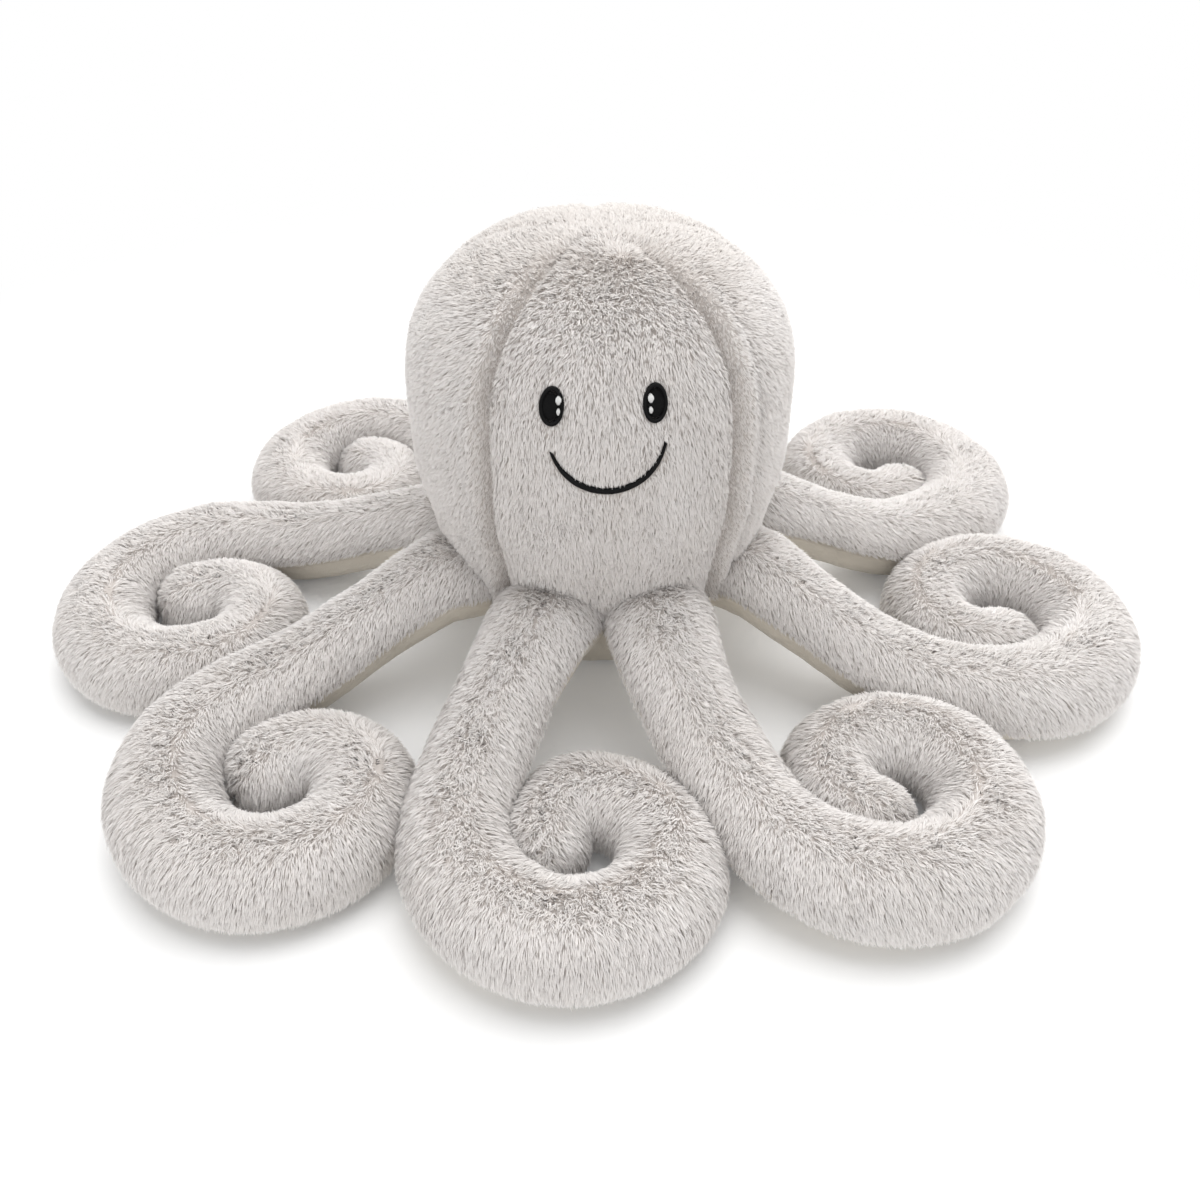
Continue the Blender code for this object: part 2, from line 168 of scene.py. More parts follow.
world = bpy.data.worlds.new("soft_sky")
world.use_nodes = True
world.node_tree.nodes.clear()
sky_start = Socket(world.node_tree)
sky_seen = sky_start.node("ShaderNodeLightPath", output="Is Camera Ray")
sky_glossy = sky_start.node("ShaderNodeLightPath", output="Is Glossy Ray")
sky_light = sky_start.node("ShaderNodeBackground", {"Color": SKY, "Strength": SKY_STRENGTH})
sky_white = sky_start.node("ShaderNodeBackground", {"Color": SKY, "Strength": 1.0})
sky_mixed = sky_start.node(
    "ShaderNodeMixShader", {0: sky_seen.sum("MAXIMUM", sky_seen, sky_glossy), 1: sky_light, 2: sky_white}
)
sky_start.node("ShaderNodeOutputWorld", {"Surface": sky_mixed})
bpy.context.scene.world = world


# Head: five gores of long-pile plush, sewn edge to edge from the crown down to the hem and
# stuffed tight, so that each crowns out between seams that sink into the pile.
HEAD_RADIUS = 0.095
HEAD_TOP = 0.2303
HEAD_MIDDLE = (0.0, 0.0, 0.12)
SHOULDER_HEIGHT = 0.155
WAIST_HEIGHT = 0.115
WAIST_EASE = 0.008
HEM_HEIGHT = 0.089
HEM_RADIUS = 0.0885
HEM_EASE = 0.006
RIM_HEIGHT = 0.056
RIM_RADIUS = 0.083
CROWN_FULLNESS = 2.435
CROWN_START = 0.0002
CROWN_ROWS_POWER = 1.15
FACE_SEAM_ANGLE = -124.0
FACE_PANEL_ANGLE = 76.0
FACE_MIDDLE_ANGLE = FACE_SEAM_ANGLE + FACE_PANEL_ANGLE / 2
# how strong the rolled welt is along each panel's first and last seam
HEAD_PANELS = {
    "face_panel": (0.0, 0.0),
    "right_side_panel": (1.0, 0.0),
    "back_right_panel": (0.0, 0.0),
    "back_left_panel": (0.0, 0.0),
    "left_side_panel": (0.0, 0.5),
}
PANEL_COLUMNS = 40
PANEL_ROWS = 56
PANEL_CROWN = 0.0006
PANEL_CROWN_REACH = 0.03
BACKING = 0.0015
SEAM_DEPTH = 0.0082
SEAM_REACH = 0.0037
POLE_REACH = 0.078
POLE_SHARE = 0.03
WELT_RISE = 0.0016
WELT_REACH = 0.0035
WELT_PLACE = 0.0075
WELT_FAR = 0.0145
WELT_START = 0.03
BACK_EASE = 0.55
BACK_EASE_FROM = (0.3, 0.9)
CROWN_EASE = 0.80
CROWN_EASE_FROM = (-0.1, 0.2)
CROWN_EASE_HEIGHTS = (0.19, 0.225)
# place, reach and rise of the dent and the bump in front of the crown
DIMPLES = (((0.001, -0.052), 0.0085, -0.0028), ((0.010, -0.042), 0.0070, 0.0016))
NOISE_SHIFT = (7.3, 3.1, 5.7)


def smooth(low, high, value):
    """0 up to low, 1 from high on, and an even bend between them."""
    share = np.clip((value - low) / (high - low), 0.0, 1.0)
    return share * share * (3.0 - 2.0 * share)


def unit(vectors):
    return vectors / np.maximum(np.linalg.norm(vectors, axis=-1, keepdims=True), 1e-12)


def dot(first, second):
    return (first * second).sum(-1, keepdims=True)


def wander(points, scale, seed):
    """Smooth noise from -1 to 1 at each point of a grid."""
    shift = Vector([seed * step for step in NOISE_SHIFT])
    flat = points.reshape(-1, 3) / scale
    values = [noise.noise(Vector(p) + shift) for p in flat]
    return np.array(values).reshape(points.shape[:-1])


def grid_normals(points, outwards):
    """Unit normals of a grid of points, turned to the side that outwards says."""
    along = np.gradient(points, axis=0)
    across = np.gradient(points, axis=1)
    normals = unit(np.cross(along, across))
    return np.where(dot(normals, outwards) < 0, -normals, normals)


def head_radius(height):
    """The backing's radius at a height, without its seams."""
    share = np.clip((height - SHOULDER_HEIGHT) / (HEAD_TOP - SHOULDER_HEIGHT), 0.0, 1.0)
    crown = HEAD_RADIUS * (1.0 - share ** CROWN_FULLNESS) ** (1.0 / CROWN_FULLNESS)
    drawn_in = smooth(WAIST_HEIGHT + WAIST_EASE, HEM_HEIGHT - HEM_EASE, height)
    waist = HEAD_RADIUS + (HEM_RADIUS - HEAD_RADIUS) * drawn_in
    below_hem = np.clip((HEM_HEIGHT - height) / (HEM_HEIGHT - RIM_HEIGHT), 0.0, 1.0)
    return np.minimum(crown, waist + (RIM_RADIUS - HEM_RADIUS) * below_hem)


def head_rows(count):
    """(radius, height) down the head's outline, from near its pole to its rim."""
    steps = np.linspace(0.0, 1.0, count // 2) ** CROWN_ROWS_POWER
    steps[0] = CROWN_START
    angle = math.pi / 2 * (1.0 - steps)
    power = 2.0 / CROWN_FULLNESS
    crown = np.stack([
        HEAD_RADIUS * np.cos(angle) ** power,
        SHOULDER_HEIGHT + (HEAD_TOP - SHOULDER_HEIGHT) * np.sin(angle) ** power,
    ], 1)
    heights = np.linspace(SHOULDER_HEIGHT, RIM_HEIGHT, count - count // 2 + 1)[1:]
    return np.concatenate([crown, np.stack([head_radius(heights), heights], 1)])


def head_panel(start, width, welts):
    """The backing of one gore: (points, normals, turns, ways to the nearer seam).

    It is sunk at its seams and crowned between. welts says how strong the rolled welt is along
    its first and last seam, from 0 to 1.
    """
    across = 0.5 - 0.5 * np.cos(np.linspace(0, math.pi, PANEL_COLUMNS))
    turns = np.radians(start + width * across)
    rows = head_rows(PANEL_ROWS)
    radius = np.repeat(rows[:, :1], PANEL_COLUMNS, 1)
    height = np.repeat(rows[:, 1:], PANEL_COLUMNS, 1)
    turn = np.repeat(turns[None], PANEL_ROWS, 0)
    points = np.stack([radius * np.cos(turn), radius * np.sin(turn), height], -1)
    outwards = points - np.array(HEAD_MIDDLE)
    normals = grid_normals(points, outwards)
    edge = np.minimum(turn - turns[0], turns[-1] - turn) * radius
    sink = SEAM_DEPTH * np.exp(-((edge / SEAM_REACH) ** 2)) * (
        POLE_SHARE + (1 - POLE_SHARE) * smooth(0.0, POLE_REACH, radius)
    )
    sink = sink * (1.0 - BACK_EASE * smooth(*BACK_EASE_FROM, np.sin(turn)))
    behind = smooth(*CROWN_EASE_FROM, np.sin(turn))
    sink = sink * (1.0 - CROWN_EASE * smooth(*CROWN_EASE_HEIGHTS, height) * behind)
    swell = PANEL_CROWN * smooth(0.0, PANEL_CROWN_REACH, edge)
    welt = np.where(turn < turns.mean(), *welts) * smooth(WELT_START, POLE_REACH, radius)
    swell = swell + WELT_RISE * welt * np.exp(-(((edge - WELT_PLACE) / WELT_REACH) ** 2))
    swell = swell - WELT_RISE * welt * np.exp(-(((edge - WELT_FAR) / WELT_REACH) ** 2))
    for (x, y), reach, rise in DIMPLES:
        off = (points[..., 0] - x) ** 2 + (points[..., 1] - y) ** 2
        swell = swell + rise * np.exp(-off / reach ** 2) * (height > SHOULDER_HEIGHT)
    points = points + normals * (swell - sink)[..., None]
    return points, grid_normals(points, outwards), turn, edge


# Plush: polyester pile on a knitted backing, nearly matt, a warm light grey, painted darker towards
# its root and on the backing as painted shade deep in the pile. Each strand is a tapered pair of
# triangles, a few strands lean together in a tuft, and strands side by side differ a little in tone.
PILE_ROUGHNESS = 0.85
# colours from root to tip; the darker ones near the root are painted shade
PILE_STOPS = (
    (0.0, (0.68, 0.635, 0.605)),
    (0.30, (0.86, 0.818, 0.79)),
    (0.62, (0.94, 0.908, 0.885)),
    (1.0, (0.99, 0.963, 0.945)),
)
DUSKY = (0.88, 0.862, 0.842, 1.0)
PALE = (1.0, 1.0, 1.0, 1.0)
UV_NAME = "OFBake"
STRANDS_PER_M2 = 2.1e6
STRANDS_PER_TUFT = 5
STRAND_WIDTH = 0.00046
STRAND_WIDTH_SPREAD = (0.7, 1.3)
STRAND_LENGTH_SPREAD = (0.72, 1.12)
STRAND_ROLL = 0.30
STRAND_ROOT_V = 0.10
STRAND_HALF_V = 0.55
NAP_SPREAD = 0.16
MUSS_SPREAD = 1.3
MUSS_LIFT = 34.0
LIFT_SPREAD = 5.0
LEAST_LIFT = 4.0
ROOT_LIFT_SHARE = 1.35
TIP_LIFT_SHARE = 0.55
TUFT_PULL = 0.50
TUFT_PULL_SPREAD = (0.6, 1.2)
MIDDLE_PULL = 0.35
SOFT_LEAN = 0.17
CALM_PULL = 0.5
CALM_LEAN = 0.6
CALM_SHADE = 0.5
SHADE_SPREAD = 0.24
TUFT_SHADES = 17
TUFT_SHADE_SPREAD = 0.3
PALEST_SHADE = 0.98
SHADE_STEP = 0.02
FLOOR_CLEAR = 0.0004
# tones of the backing, which takes the darkest root colour as painted shade under the pile
BACKING_SHADES = (0.2, 0.7)


def read_grid(fields, rows, columns):
    """The fields of a grid, read between its points."""
    i = np.clip(rows.astype(int), 0, fields.shape[0] - 2)
    j = np.clip(columns.astype(int), 0, fields.shape[1] - 2)
    s = (rows - i)[:, None]
    t = (columns - j)[:, None]
    near = fields[i, j] * (1 - t) + fields[i, j + 1] * t
    far = fields[i + 1, j] * (1 - t) + fields[i + 1, j + 1] * t
    return near * (1 - s) + far * s


def scatter(points, density, rng):
    """Places spread evenly over a grid's area, as row and column numbers."""
    first = points[1:, 1:] - points[:-1, :-1]
    second = points[1:, :-1] - points[:-1, 1:]
    area = np.linalg.norm(np.cross(first, second), axis=-1) / 2
    count = int(area.sum() * density)
    heap = area.ravel().cumsum()
    picks = np.searchsorted(heap, (np.arange(count) + rng.random(count)) / count * heap[-1])
    rows, columns = np.divmod(np.minimum(picks, heap.size - 1), area.shape[1])
    return rows + rng.random(count), columns + rng.random(count)


def tuft_of(roots, rng):
    """For each strand, the number of the strand at the middle of its tuft."""
    middles = rng.choice(len(roots), max(1, len(roots) // STRANDS_PER_TUFT), replace=False)
    tree = KDTree(len(middles))
    for number, middle in enumerate(middles):
        tree.insert(roots[middle], number)
    tree.balance()
    return middles[[tree.find(root)[1] for root in roots]]


def lay_pile(points, normals, flow, length, lift, muss, tone, bare, seed, trim=None):
    """Strands over a grid of backing: (corners, their normals, triangles, UVs).

    flow is the way the pile runs, lift its angle off the cloth in degrees, muss how much it is
    ruffled and tone how pale it is, from 0 to 1. No strand grows where bare is over a half.
    """
    rng = np.random.default_rng(seed)
    measures = np.stack([length, lift, muss, tone, bare], -1)
    fields = np.concatenate([points, normals, flow, measures], -1)
    rows, columns = scatter(points, STRANDS_PER_M2, rng)
    at = read_grid(fields, rows, columns)
    at = at[at[:, -1] < 0.5]
    root, out, ahead = at[:, 0:3], unit(at[:, 3:6]), at[:, 6:9]
    reach, rise, ruffled, pale = at[:, 9], at[:, 10], at[:, 11], at[:, 12]
    count = len(root)
    ahead = unit(ahead - out * dot(ahead, out))
    aside = np.cross(out, ahead)
    turn = rng.normal(0, NAP_SPREAD, count) + rng.normal(0, MUSS_SPREAD, count) * ruffled
    ahead, aside = (
        ahead * np.cos(turn)[:, None] + aside * np.sin(turn)[:, None],
        aside * np.cos(turn)[:, None] - ahead * np.sin(turn)[:, None],
    )
    reach = reach * rng.uniform(*STRAND_LENGTH_SPREAD, count)
    steep = np.radians(rise + MUSS_LIFT * ruffled * rng.random(count) + rng.normal(0, LIFT_SPREAD, count))
    low = np.radians(LEAST_LIFT)
    start = np.maximum(steep * ROOT_LIFT_SHARE, low)
    end = np.maximum(steep * TIP_LIFT_SHARE, -low)

    def run(angle):
        return ahead * np.cos(angle)[:, None] + out * np.sin(angle)[:, None]

    root = root - out * BACKING / 3
    middle = root + run(start) * (reach * 0.5)[:, None]
    tip = middle + run(end) * (reach * 0.5)[:, None]
    centre = tuft_of(root, rng)
    pull = (TUFT_PULL * rng.uniform(*TUFT_PULL_SPREAD, count) * (CALM_PULL + ruffled))[:, None]
    tip = tip + (tip[centre] - tip) * pull
    middle = middle + (middle[centre] - middle) * pull * MIDDLE_PULL
    if trim is not None:
        keep = trim(root, middle, tip)[:, None]
        middle = root + (middle - root) * keep
        tip = root + (tip - root) * keep
    roll = rng.normal(0, STRAND_ROLL, count)[:, None]
    wide = (aside * np.cos(roll) + out * np.sin(roll)) * STRAND_WIDTH / 2
    wide = wide * rng.uniform(*STRAND_WIDTH_SPREAD, count)[:, None]
    corners = np.stack([root, middle - wide, middle + wide, tip], 1)
    corners[..., 2] = np.maximum(corners[..., 2], FLOOR_CLEAR)
    leans = rng.normal(0, SOFT_LEAN, (count, 3)) * (CALM_LEAN + ruffled)[:, None]
    soft = unit(out + leans[centre] + rng.normal(0, SOFT_LEAN / 2, (count, 3)))
    soft = np.repeat(soft[:, None], 4, 1).reshape(-1, 3)
    first = np.arange(count)[:, None] * 4
    triangles = np.concatenate([first + np.array([0, 1, 2]), first + np.array([2, 1, 3])], 1)
    tuft_shade = (centre % TUFT_SHADES / TUFT_SHADES - 0.5) * TUFT_SHADE_SPREAD
    vary = rng.normal(0, SHADE_SPREAD, count) + tuft_shade
    shade = np.clip(pale + vary * (CALM_SHADE + ruffled), 0.0, PALEST_SHADE)
    left, right, half = shade, shade + SHADE_STEP, np.full(count, STRAND_HALF_V)
    uv = np.stack([
        (left + right) / 2, np.full(count, STRAND_ROOT_V), right, half, left, half,
        left, half, right, half, (left + right) / 2, np.ones(count),
    ], 1)
    return corners.reshape(-1, 3), soft, triangles.reshape(-1, 3), uv


def cloth(points, normals, thickness):
    """A closed sheet of cloth on a grid of points: (corners, quads)."""
    rows, columns = points.shape[:2]
    number = np.arange(rows * columns).reshape(rows, columns)

    def squares(numbers):
        return np.stack(
            [numbers[:-1, :-1], numbers[:-1, 1:], numbers[1:, 1:], numbers[1:, :-1]], -1
        ).reshape(-1, 4)

    inner = number + rows * columns
    edge = np.concatenate(
        [number[0], number[1:, -1], number[-1, -2::-1], number[-2:0:-1, 0]]
    )
    after = np.roll(edge, -1)
    rim = np.stack([after, edge, edge + rows * columns, after + rows * columns], -1)
    corners = np.concatenate([points.reshape(-1, 3), (points - normals * thickness).reshape(-1, 3)])
    quads = np.concatenate([squares(number), squares(inner)[:, ::-1], rim])
    i, j = rows // 2, columns // 2
    facing = np.cross(points[i, j + 1] - points[i, j], points[i + 1, j] - points[i, j])
    if np.dot(facing, normals[i, j]) < 0:
        quads = quads[:, ::-1]
    return corners, quads


def plush_piece(name, points, normals, pile, material):
    """One object: the cloth backing and the pile on it, with one UV map for both."""
    corners, quads = cloth(points, normals, BACKING)
    hair, hair_normals, hair_triangles, hair_uv = pile
    base = len(corners)
    # the backing is mapped to the darkest root colour: painted shade under the pile
    shade = np.random.default_rng(len(quads)).uniform(*BACKING_SHADES, len(quads))
    step = STRAND_ROOT_V / 4
    cloth_uv = np.stack([
        shade, np.zeros(len(quads)), shade + step, np.zeros(len(quads)),
        shade + step, np.full(len(quads), step), shade, np.full(len(quads), step),
    ], 1)
    made = bpy.data.meshes.new(name)
    three = hair_triangles + base
    made.vertices.add(base + len(hair))
    made.vertices.foreach_set("co", np.concatenate([corners, hair]).astype(np.float32).ravel())
    made.loops.add(quads.size + three.size)
    corner_numbers = np.concatenate([quads.ravel(), three.ravel()])
    made.loops.foreach_set("vertex_index", corner_numbers.astype(np.int32))
    made.polygons.add(len(quads) + len(three))
    starts = np.concatenate([np.arange(len(quads)) * 4, quads.size + np.arange(len(three)) * 3])
    made.polygons.foreach_set("loop_start", starts.astype(np.int32))
    made.update(calc_edges=True)
    layer = made.uv_layers.new(name=UV_NAME)
    uv = np.concatenate([cloth_uv.ravel(), hair_uv.ravel()])
    layer.uv.foreach_set("vector", uv.astype(np.float32))
    made.shade_smooth()
    backing_normals = np.concatenate([normals.reshape(-1, 3), -normals.reshape(-1, 3)])
    made.normals_split_custom_set_from_vertices(np.concatenate([backing_normals, hair_normals]))
    made.materials.append(material)
    piece = bpy.data.objects.new(name, made)
    bpy.context.scene.collection.objects.link(piece)
    return piece


grey_plush, plush_shader, plush = new_material(
    "grey_plush_pile", {"Roughness": PILE_ROUGHNESS, "Specular IOR Level": 0.25, "Sheen Weight": 0.15}
)
strand_place = plush.node("ShaderNodeUVMap", uv_map=UV_NAME)
strand_tone = plush.node("ShaderNodeSeparateXYZ", {0: strand_place})
strand_run = Socket(plush.tree, strand_tone.output.node.outputs["Y"])
run_colour = plush.node("ShaderNodeValToRGB", {0: strand_run}, stops=PILE_STOPS)
tone_colour = strand_tone.mix(DUSKY, PALE)
strand_colour = plush.node(
    "ShaderNodeMix", {0: 1.0, 6: run_colour, 7: tone_colour},
    output=2, data_type="RGBA", blend_type="MULTIPLY",
)
plush.tree.links.new(strand_colour.output, plush_shader.inputs["Base Color"])


# Stitching: where the eyes and the smile are sewn on the face. The pile beside them is pressed
# down and clipped short, so that it laps their edges and leaves them clear.
EYES = (
    # angle round the head, height and tilt of the left one, then of the right one
    (-103.0, 0.1857, 0.0),
    (-75.1, 0.1867, -5.0),
)
EYE_HALF_WIDTH = 0.0055
EYE_HALF_HEIGHT = 0.0083
MOUTH_ANGLE = -88.0
MOUTH_HEIGHT = 0.1744
MOUTH_HALF_WIDTH = 0.0255
MOUTH_HALF_HEIGHT = 0.0267
MOUTH_ENDS = (-72.0, 80.0)
MOUTH_BAND = 0.0015
EYE_CLEAR = 0.0007
MOUTH_CLEAR = 0.0001
SLOPE_STEP = 0.001
TRIM_SEED = 7
TRIM_TRIES = 8
TRIM_SHARE = 0.82
TRIM_LEAST = 0.02
TRIM_PLACES = (0.5, 1.0)
TRIM_SLACK = 0.0009
PRESSED_SHARE = 0.28
PRESSED_REACH = 0.0026


def face_slope(height, step=SLOPE_STEP):
    """How fast the head's radius grows with height, read over a step either way."""
    return (head_radius(height + step) - head_radius(height - step)) / (2 * step)


def face_place(points, angle, height):
    """Points near the face as (across, up) from a place on it."""
    turn = np.degrees(np.arctan2(points[..., 1], points[..., 0])) - angle
    turn = (turn + 180.0) % 360.0 - 180.0
    slope = 1.0 / np.sqrt(1.0 + face_slope(height) ** 2)
    return np.radians(turn) * head_radius(height), (points[..., 2] - height) / slope


def off_stitching(points):
    """How far points lie from the edge of an eye or the smile, below zero over it."""
    far = np.full(points.shape[:-1], 1.0)
    for angle, height, tilt in EYES:
        rightwards, upwards = face_place(points, angle, height)
        lean = math.radians(tilt)
        across = rightwards * math.cos(lean) + upwards * math.sin(lean)
        up = upwards * math.cos(lean) - rightwards * math.sin(lean)
        wide = EYE_HALF_WIDTH - EYE_CLEAR
        tall = EYE_HALF_HEIGHT - EYE_CLEAR
        far = np.minimum(far, (np.hypot(across / wide, up / tall) - 1.0) * wide)
    across, up = face_place(points, MOUTH_ANGLE, MOUTH_HEIGHT)
    turn = np.degrees(np.arctan2(across / MOUTH_HALF_WIDTH, -up / MOUTH_HALF_HEIGHT))
    off = np.abs(np.hypot(across / MOUTH_HALF_WIDTH, up / MOUTH_HALF_HEIGHT) - 1.0) * MOUTH_HALF_WIDTH
    past = np.maximum(MOUTH_ENDS[0] - turn, turn - MOUTH_ENDS[1])
    off = np.maximum(off - MOUTH_BAND + MOUTH_CLEAR, np.radians(past) * MOUTH_HALF_WIDTH)
    return np.minimum(far, off)


def trim_at_face(root, middle, tip):
    """How much of each strand is left, so that the stitching shows."""
    slack = np.random.default_rng(TRIM_SEED).uniform(-TRIM_SLACK, 0.0, len(root))
    from_root = off_stitching(root)
    keep = 1.0 - PRESSED_SHARE * np.exp(-((np.maximum(from_root, 0.0) / PRESSED_REACH) ** 2))
    for _ in range(TRIM_TRIES):
        over = np.zeros(len(root), bool)
        for share in TRIM_PLACES:
            over |= off_stitching(root + (middle - root) * (keep * share)[:, None]) < slack
            over |= off_stitching(root + (middle - root + (tip - middle) * share) * keep[:, None]) < slack
        keep = np.where(over, keep * TRIM_SHARE, keep)
    return np.where(from_root < 0, TRIM_LEAST, keep)


# Tentacles: each is a tube of two cloths, plush above and suede below, that drops from the
# head to the floor, swells, and winds inwards in a flat curl. All curl the same way round.
TENTACLES = {
    # direction, reach, height share of its root, more turn of its tip, wider inner turn, root's step
    "front": (-99.1, 0.892, 1.00, 6.0, 0.0040, 0.0030),
    "front_left": (-140.1, 0.997, 0.98, 14.0, 0.0, 0.0),
    "left": (-179.8, 1.046, 0.84, 38.0, 0.0, 0.0),
    "back_left": (136.9, 0.93, 0.96, 34.0, 0.0, 0.0),
    "back": (80.6, 0.98, 0.96, 20.0, 0.0, 0.0),
    "back_right": (25.5, 1.007, 0.98, 22.0, 0.0, 0.0),
    "right": (-15.0, 1.016, 0.96, 34.0, 0.0, 0.0),
    "front_right": (-56.6, 0.957, 1.00, 36.0, 0.0, -0.0065),
}
TUBE_HALF_WIDTH = 0.0232
TUBE_HALF_HEIGHT = 0.0230
ROOT_SHARE = 0.93
TIP_SHARE = 0.68
TAPER_START_SHARE = 0.38
FLAT_ANGLE = 160.0
ROOT_REACH = 0.0935
ROOT_SIDE = -0.0185
ROOT_HEIGHT = 0.061
ROOT_LEAN = -21.0
FALL_LENGTH = 0.105
SWELL_LENGTH = 0.160
CURL_REACH = 0.2137
CURL_SIDE = 0.0284
CURL_START_RADIUS = 0.0686
CURL_END_RADIUS = 0.0243
CURL_START_ANGLE = -95.8
CURL_TURN = 356.4
CURL_HASTE_SHARE = 0.386
ARM_LEAVE = 0.033
ARM_MEET = 0.025
ROOT_INSIDE = 0.020
INSIDE_POINTS = 8
TIP_EASE = 0.9
BULGE_PLACE = 0.84
BULGE_REACH = 0.08
ROOT_STEP = (0.015, 0.09)
OWN_TURN = 0.11
FAR_OFF = 9.0
FLARE = 0.0050
FLARE_LENGTH = 0.045
ARM_SEAM_ANGLE = 84.0
CURL_SEAM_ANGLE = 110.0
SEAM_SHIFT = (0.09, 0.19)
ARM_POINTS = 40
CURL_POINTS = 96
CAP_ANGLES = (12.0, 25.0, 38.0, 50.0, 62.0, 73.0, 82.0, 89.0)
ROOT_STATIONS = 40
STATION_STEP = 3
STATION_REACH = 0.006


def tube_line(direction, reach, root_share, more_turn, bulge, root_step):
    """Stations along a tentacle: centre, heading, half width, half height, length so far.

    more_turn winds its soft tip on by so many degrees, bulge widens its inner turn, and
    root_step sets its root to one side.
    """
    lean = math.radians(ROOT_LEAN)
    root = np.array([ROOT_REACH, ROOT_SIDE])
    share = np.linspace(0.0, 1.0 + more_turn / CURL_TURN, CURL_POINTS)
    wound = share + CURL_HASTE_SHARE * share * (1.0 - share)
    wound = np.where(share > 1.0, 1.0 + (wound - 1.0) * TIP_EASE, wound)
    radius = CURL_START_RADIUS + (CURL_END_RADIUS - CURL_START_RADIUS) * wound
    radius = radius + bulge * np.exp(-(((share - BULGE_PLACE) / BULGE_REACH) ** 2))
    angle = np.radians(CURL_START_ANGLE + CURL_TURN * share)
    round_centre = radius[:, None] * np.stack([np.cos(angle), np.sin(angle)], 1)
    curl = (np.array([CURL_REACH, CURL_SIDE]) + round_centre) * reach
    heading = unit(curl[1] - curl[0])
    leave = root + ARM_LEAVE * reach * np.array([math.cos(lean), math.sin(lean)])
    meet = curl[0] - ARM_MEET * reach * heading
    t = np.linspace(0.0, 1.0, ARM_POINTS, endpoint=False)[:, None]
    s = 1.0 - t
    arm = s ** 3 * root + 3 * s * s * t * leave + 3 * s * t * t * meet + t ** 3 * curl[0]
    depth = np.linspace(ROOT_INSIDE, 0.0, INSIDE_POINTS, endpoint=False)[:, None]
    inside = root - depth * unit(arm[1] - arm[0])
    plan = np.concatenate([inside, arm, curl])
    steps = np.linalg.norm(np.diff(plan, axis=0), axis=1)
    length = np.concatenate([[0.0], steps.cumsum()]) - ROOT_INSIDE
    whole = np.interp(1.0, share, length[-CURL_POINTS:])
    plan[:, 1] += root_step * (1.0 - smooth(*ROOT_STEP, length))
    turn = math.radians(direction)
    spin = np.array([[math.cos(turn), -math.sin(turn)], [math.sin(turn), math.cos(turn)]])
    plan = plan @ spin.T
    ahead = unit(np.gradient(plan, axis=0))
    full = 1.0 - (1.0 - TIP_SHARE) * smooth(TAPER_START_SHARE, 1.0, length / whole)
    full = full * (ROOT_SHARE + (1.0 - ROOT_SHARE) * smooth(0.0, SWELL_LENGTH, length))
    half_height = TUBE_HALF_HEIGHT * full
    floor_height = -half_height * math.cos(math.radians(FLAT_ANGLE))
    fall = np.clip(1.0 - length / FALL_LENGTH, 0.0, 1.0)
    height = floor_height + (ROOT_HEIGHT * root_share - floor_height) * fall * fall * (2.0 - fall)
    half_width = TUBE_HALF_WIDTH * full + FLARE * smooth(FLARE_LENGTH, 0.0, length)
    centre = np.concatenate([plan, height[:, None]], 1)
    ahead = np.concatenate([ahead, np.zeros((len(ahead), 1))], 1)
    return centre, ahead, half_width, half_height, length


def add_tip(line):
    """The same stations with the tip's rounded end after them."""
    centre, ahead, half_width, half_height, length = line
    caps = np.radians(CAP_ANGLES)
    on = half_width[-1] * np.sin(caps)
    shrink = np.cos(caps)
    return (
        np.concatenate([centre, centre[-1] + on[:, None] * ahead[-1]]),
        np.concatenate([ahead, np.repeat(ahead[-1:], len(caps), 0)]),
        np.concatenate([half_width, half_width[-1] * shrink]),
        np.concatenate([half_height, half_height[-1] * shrink]),
        np.concatenate([length, length[-1] + on]),
    )


def seam_angle(length):
    """Where the two cloths meet, in degrees from the tube's top."""
    return ARM_SEAM_ANGLE + (CURL_SEAM_ANGLE - ARM_SEAM_ANGLE) * smooth(*SEAM_SHIFT, length)


def tube_grid(line, angles):
    """The tube at its own row of angles for each station: (points, outward ways, sideways)."""
    centre, ahead, half_width, half_height, _ = line
    side = np.stack([-ahead[:, 1], ahead[:, 0], np.zeros(len(ahead))], -1)
    up = np.array([0.0, 0.0, 1.0])
    points = (
        centre[:, None]
        + half_width[:, None, None] * np.sin(angles)[..., None] * side[:, None]
        + half_height[:, None, None] * np.cos(angles)[..., None] * up
    )
    return points, points - centre[:, None], side


def room_beside(points, lines, name):
    """How far each point of a tentacle is from the sides of the others and of its own turns."""
    room = np.full(points.shape[:-1], FAR_OFF)
    plan = points[..., :2].reshape(-1, 2)
    for other, (centre, _, half_width, _, length) in lines.items():
        off = np.linalg.norm(plan[:, None] - centre[None, :, :2], axis=2) - half_width
        off = off.reshape(*points.shape[:-1], -1)
        if other == name:
            apart = np.abs(length[:, None, None] - length[None, None, :])
            off = np.where(apart < OWN_TURN, FAR_OFF, off)
        room = np.minimum(room, off.min(-1))
    return room


def inside_tube(points, line, margin):
    """Whether points lie inside a tentacle's tube, less a margin."""
    centre, ahead, half_width, half_height, _ = line
    flat = points.reshape(-1, 3)
    best = np.full(len(flat), FAR_OFF)
    tube = (centre, ahead, half_width, half_height)
    stations = [each[:ROOT_STATIONS:STATION_STEP] for each in tube]
    for middle, heading, wide, tall in zip(*stations):
        off = flat - middle
        across = off @ np.array([-heading[1], heading[0], 0.0])
        along = off @ heading
        size = (across / (wide - margin)) ** 2 + (off[:, 2] / (tall - margin)) ** 2
        best = np.minimum(best, np.where(np.abs(along) < STATION_REACH, size, FAR_OFF))
    return (best < 1.0).reshape(points.shape[:-1])


lines = {name: add_tip(tube_line(*shape)) for name, shape in TENTACLES.items()}


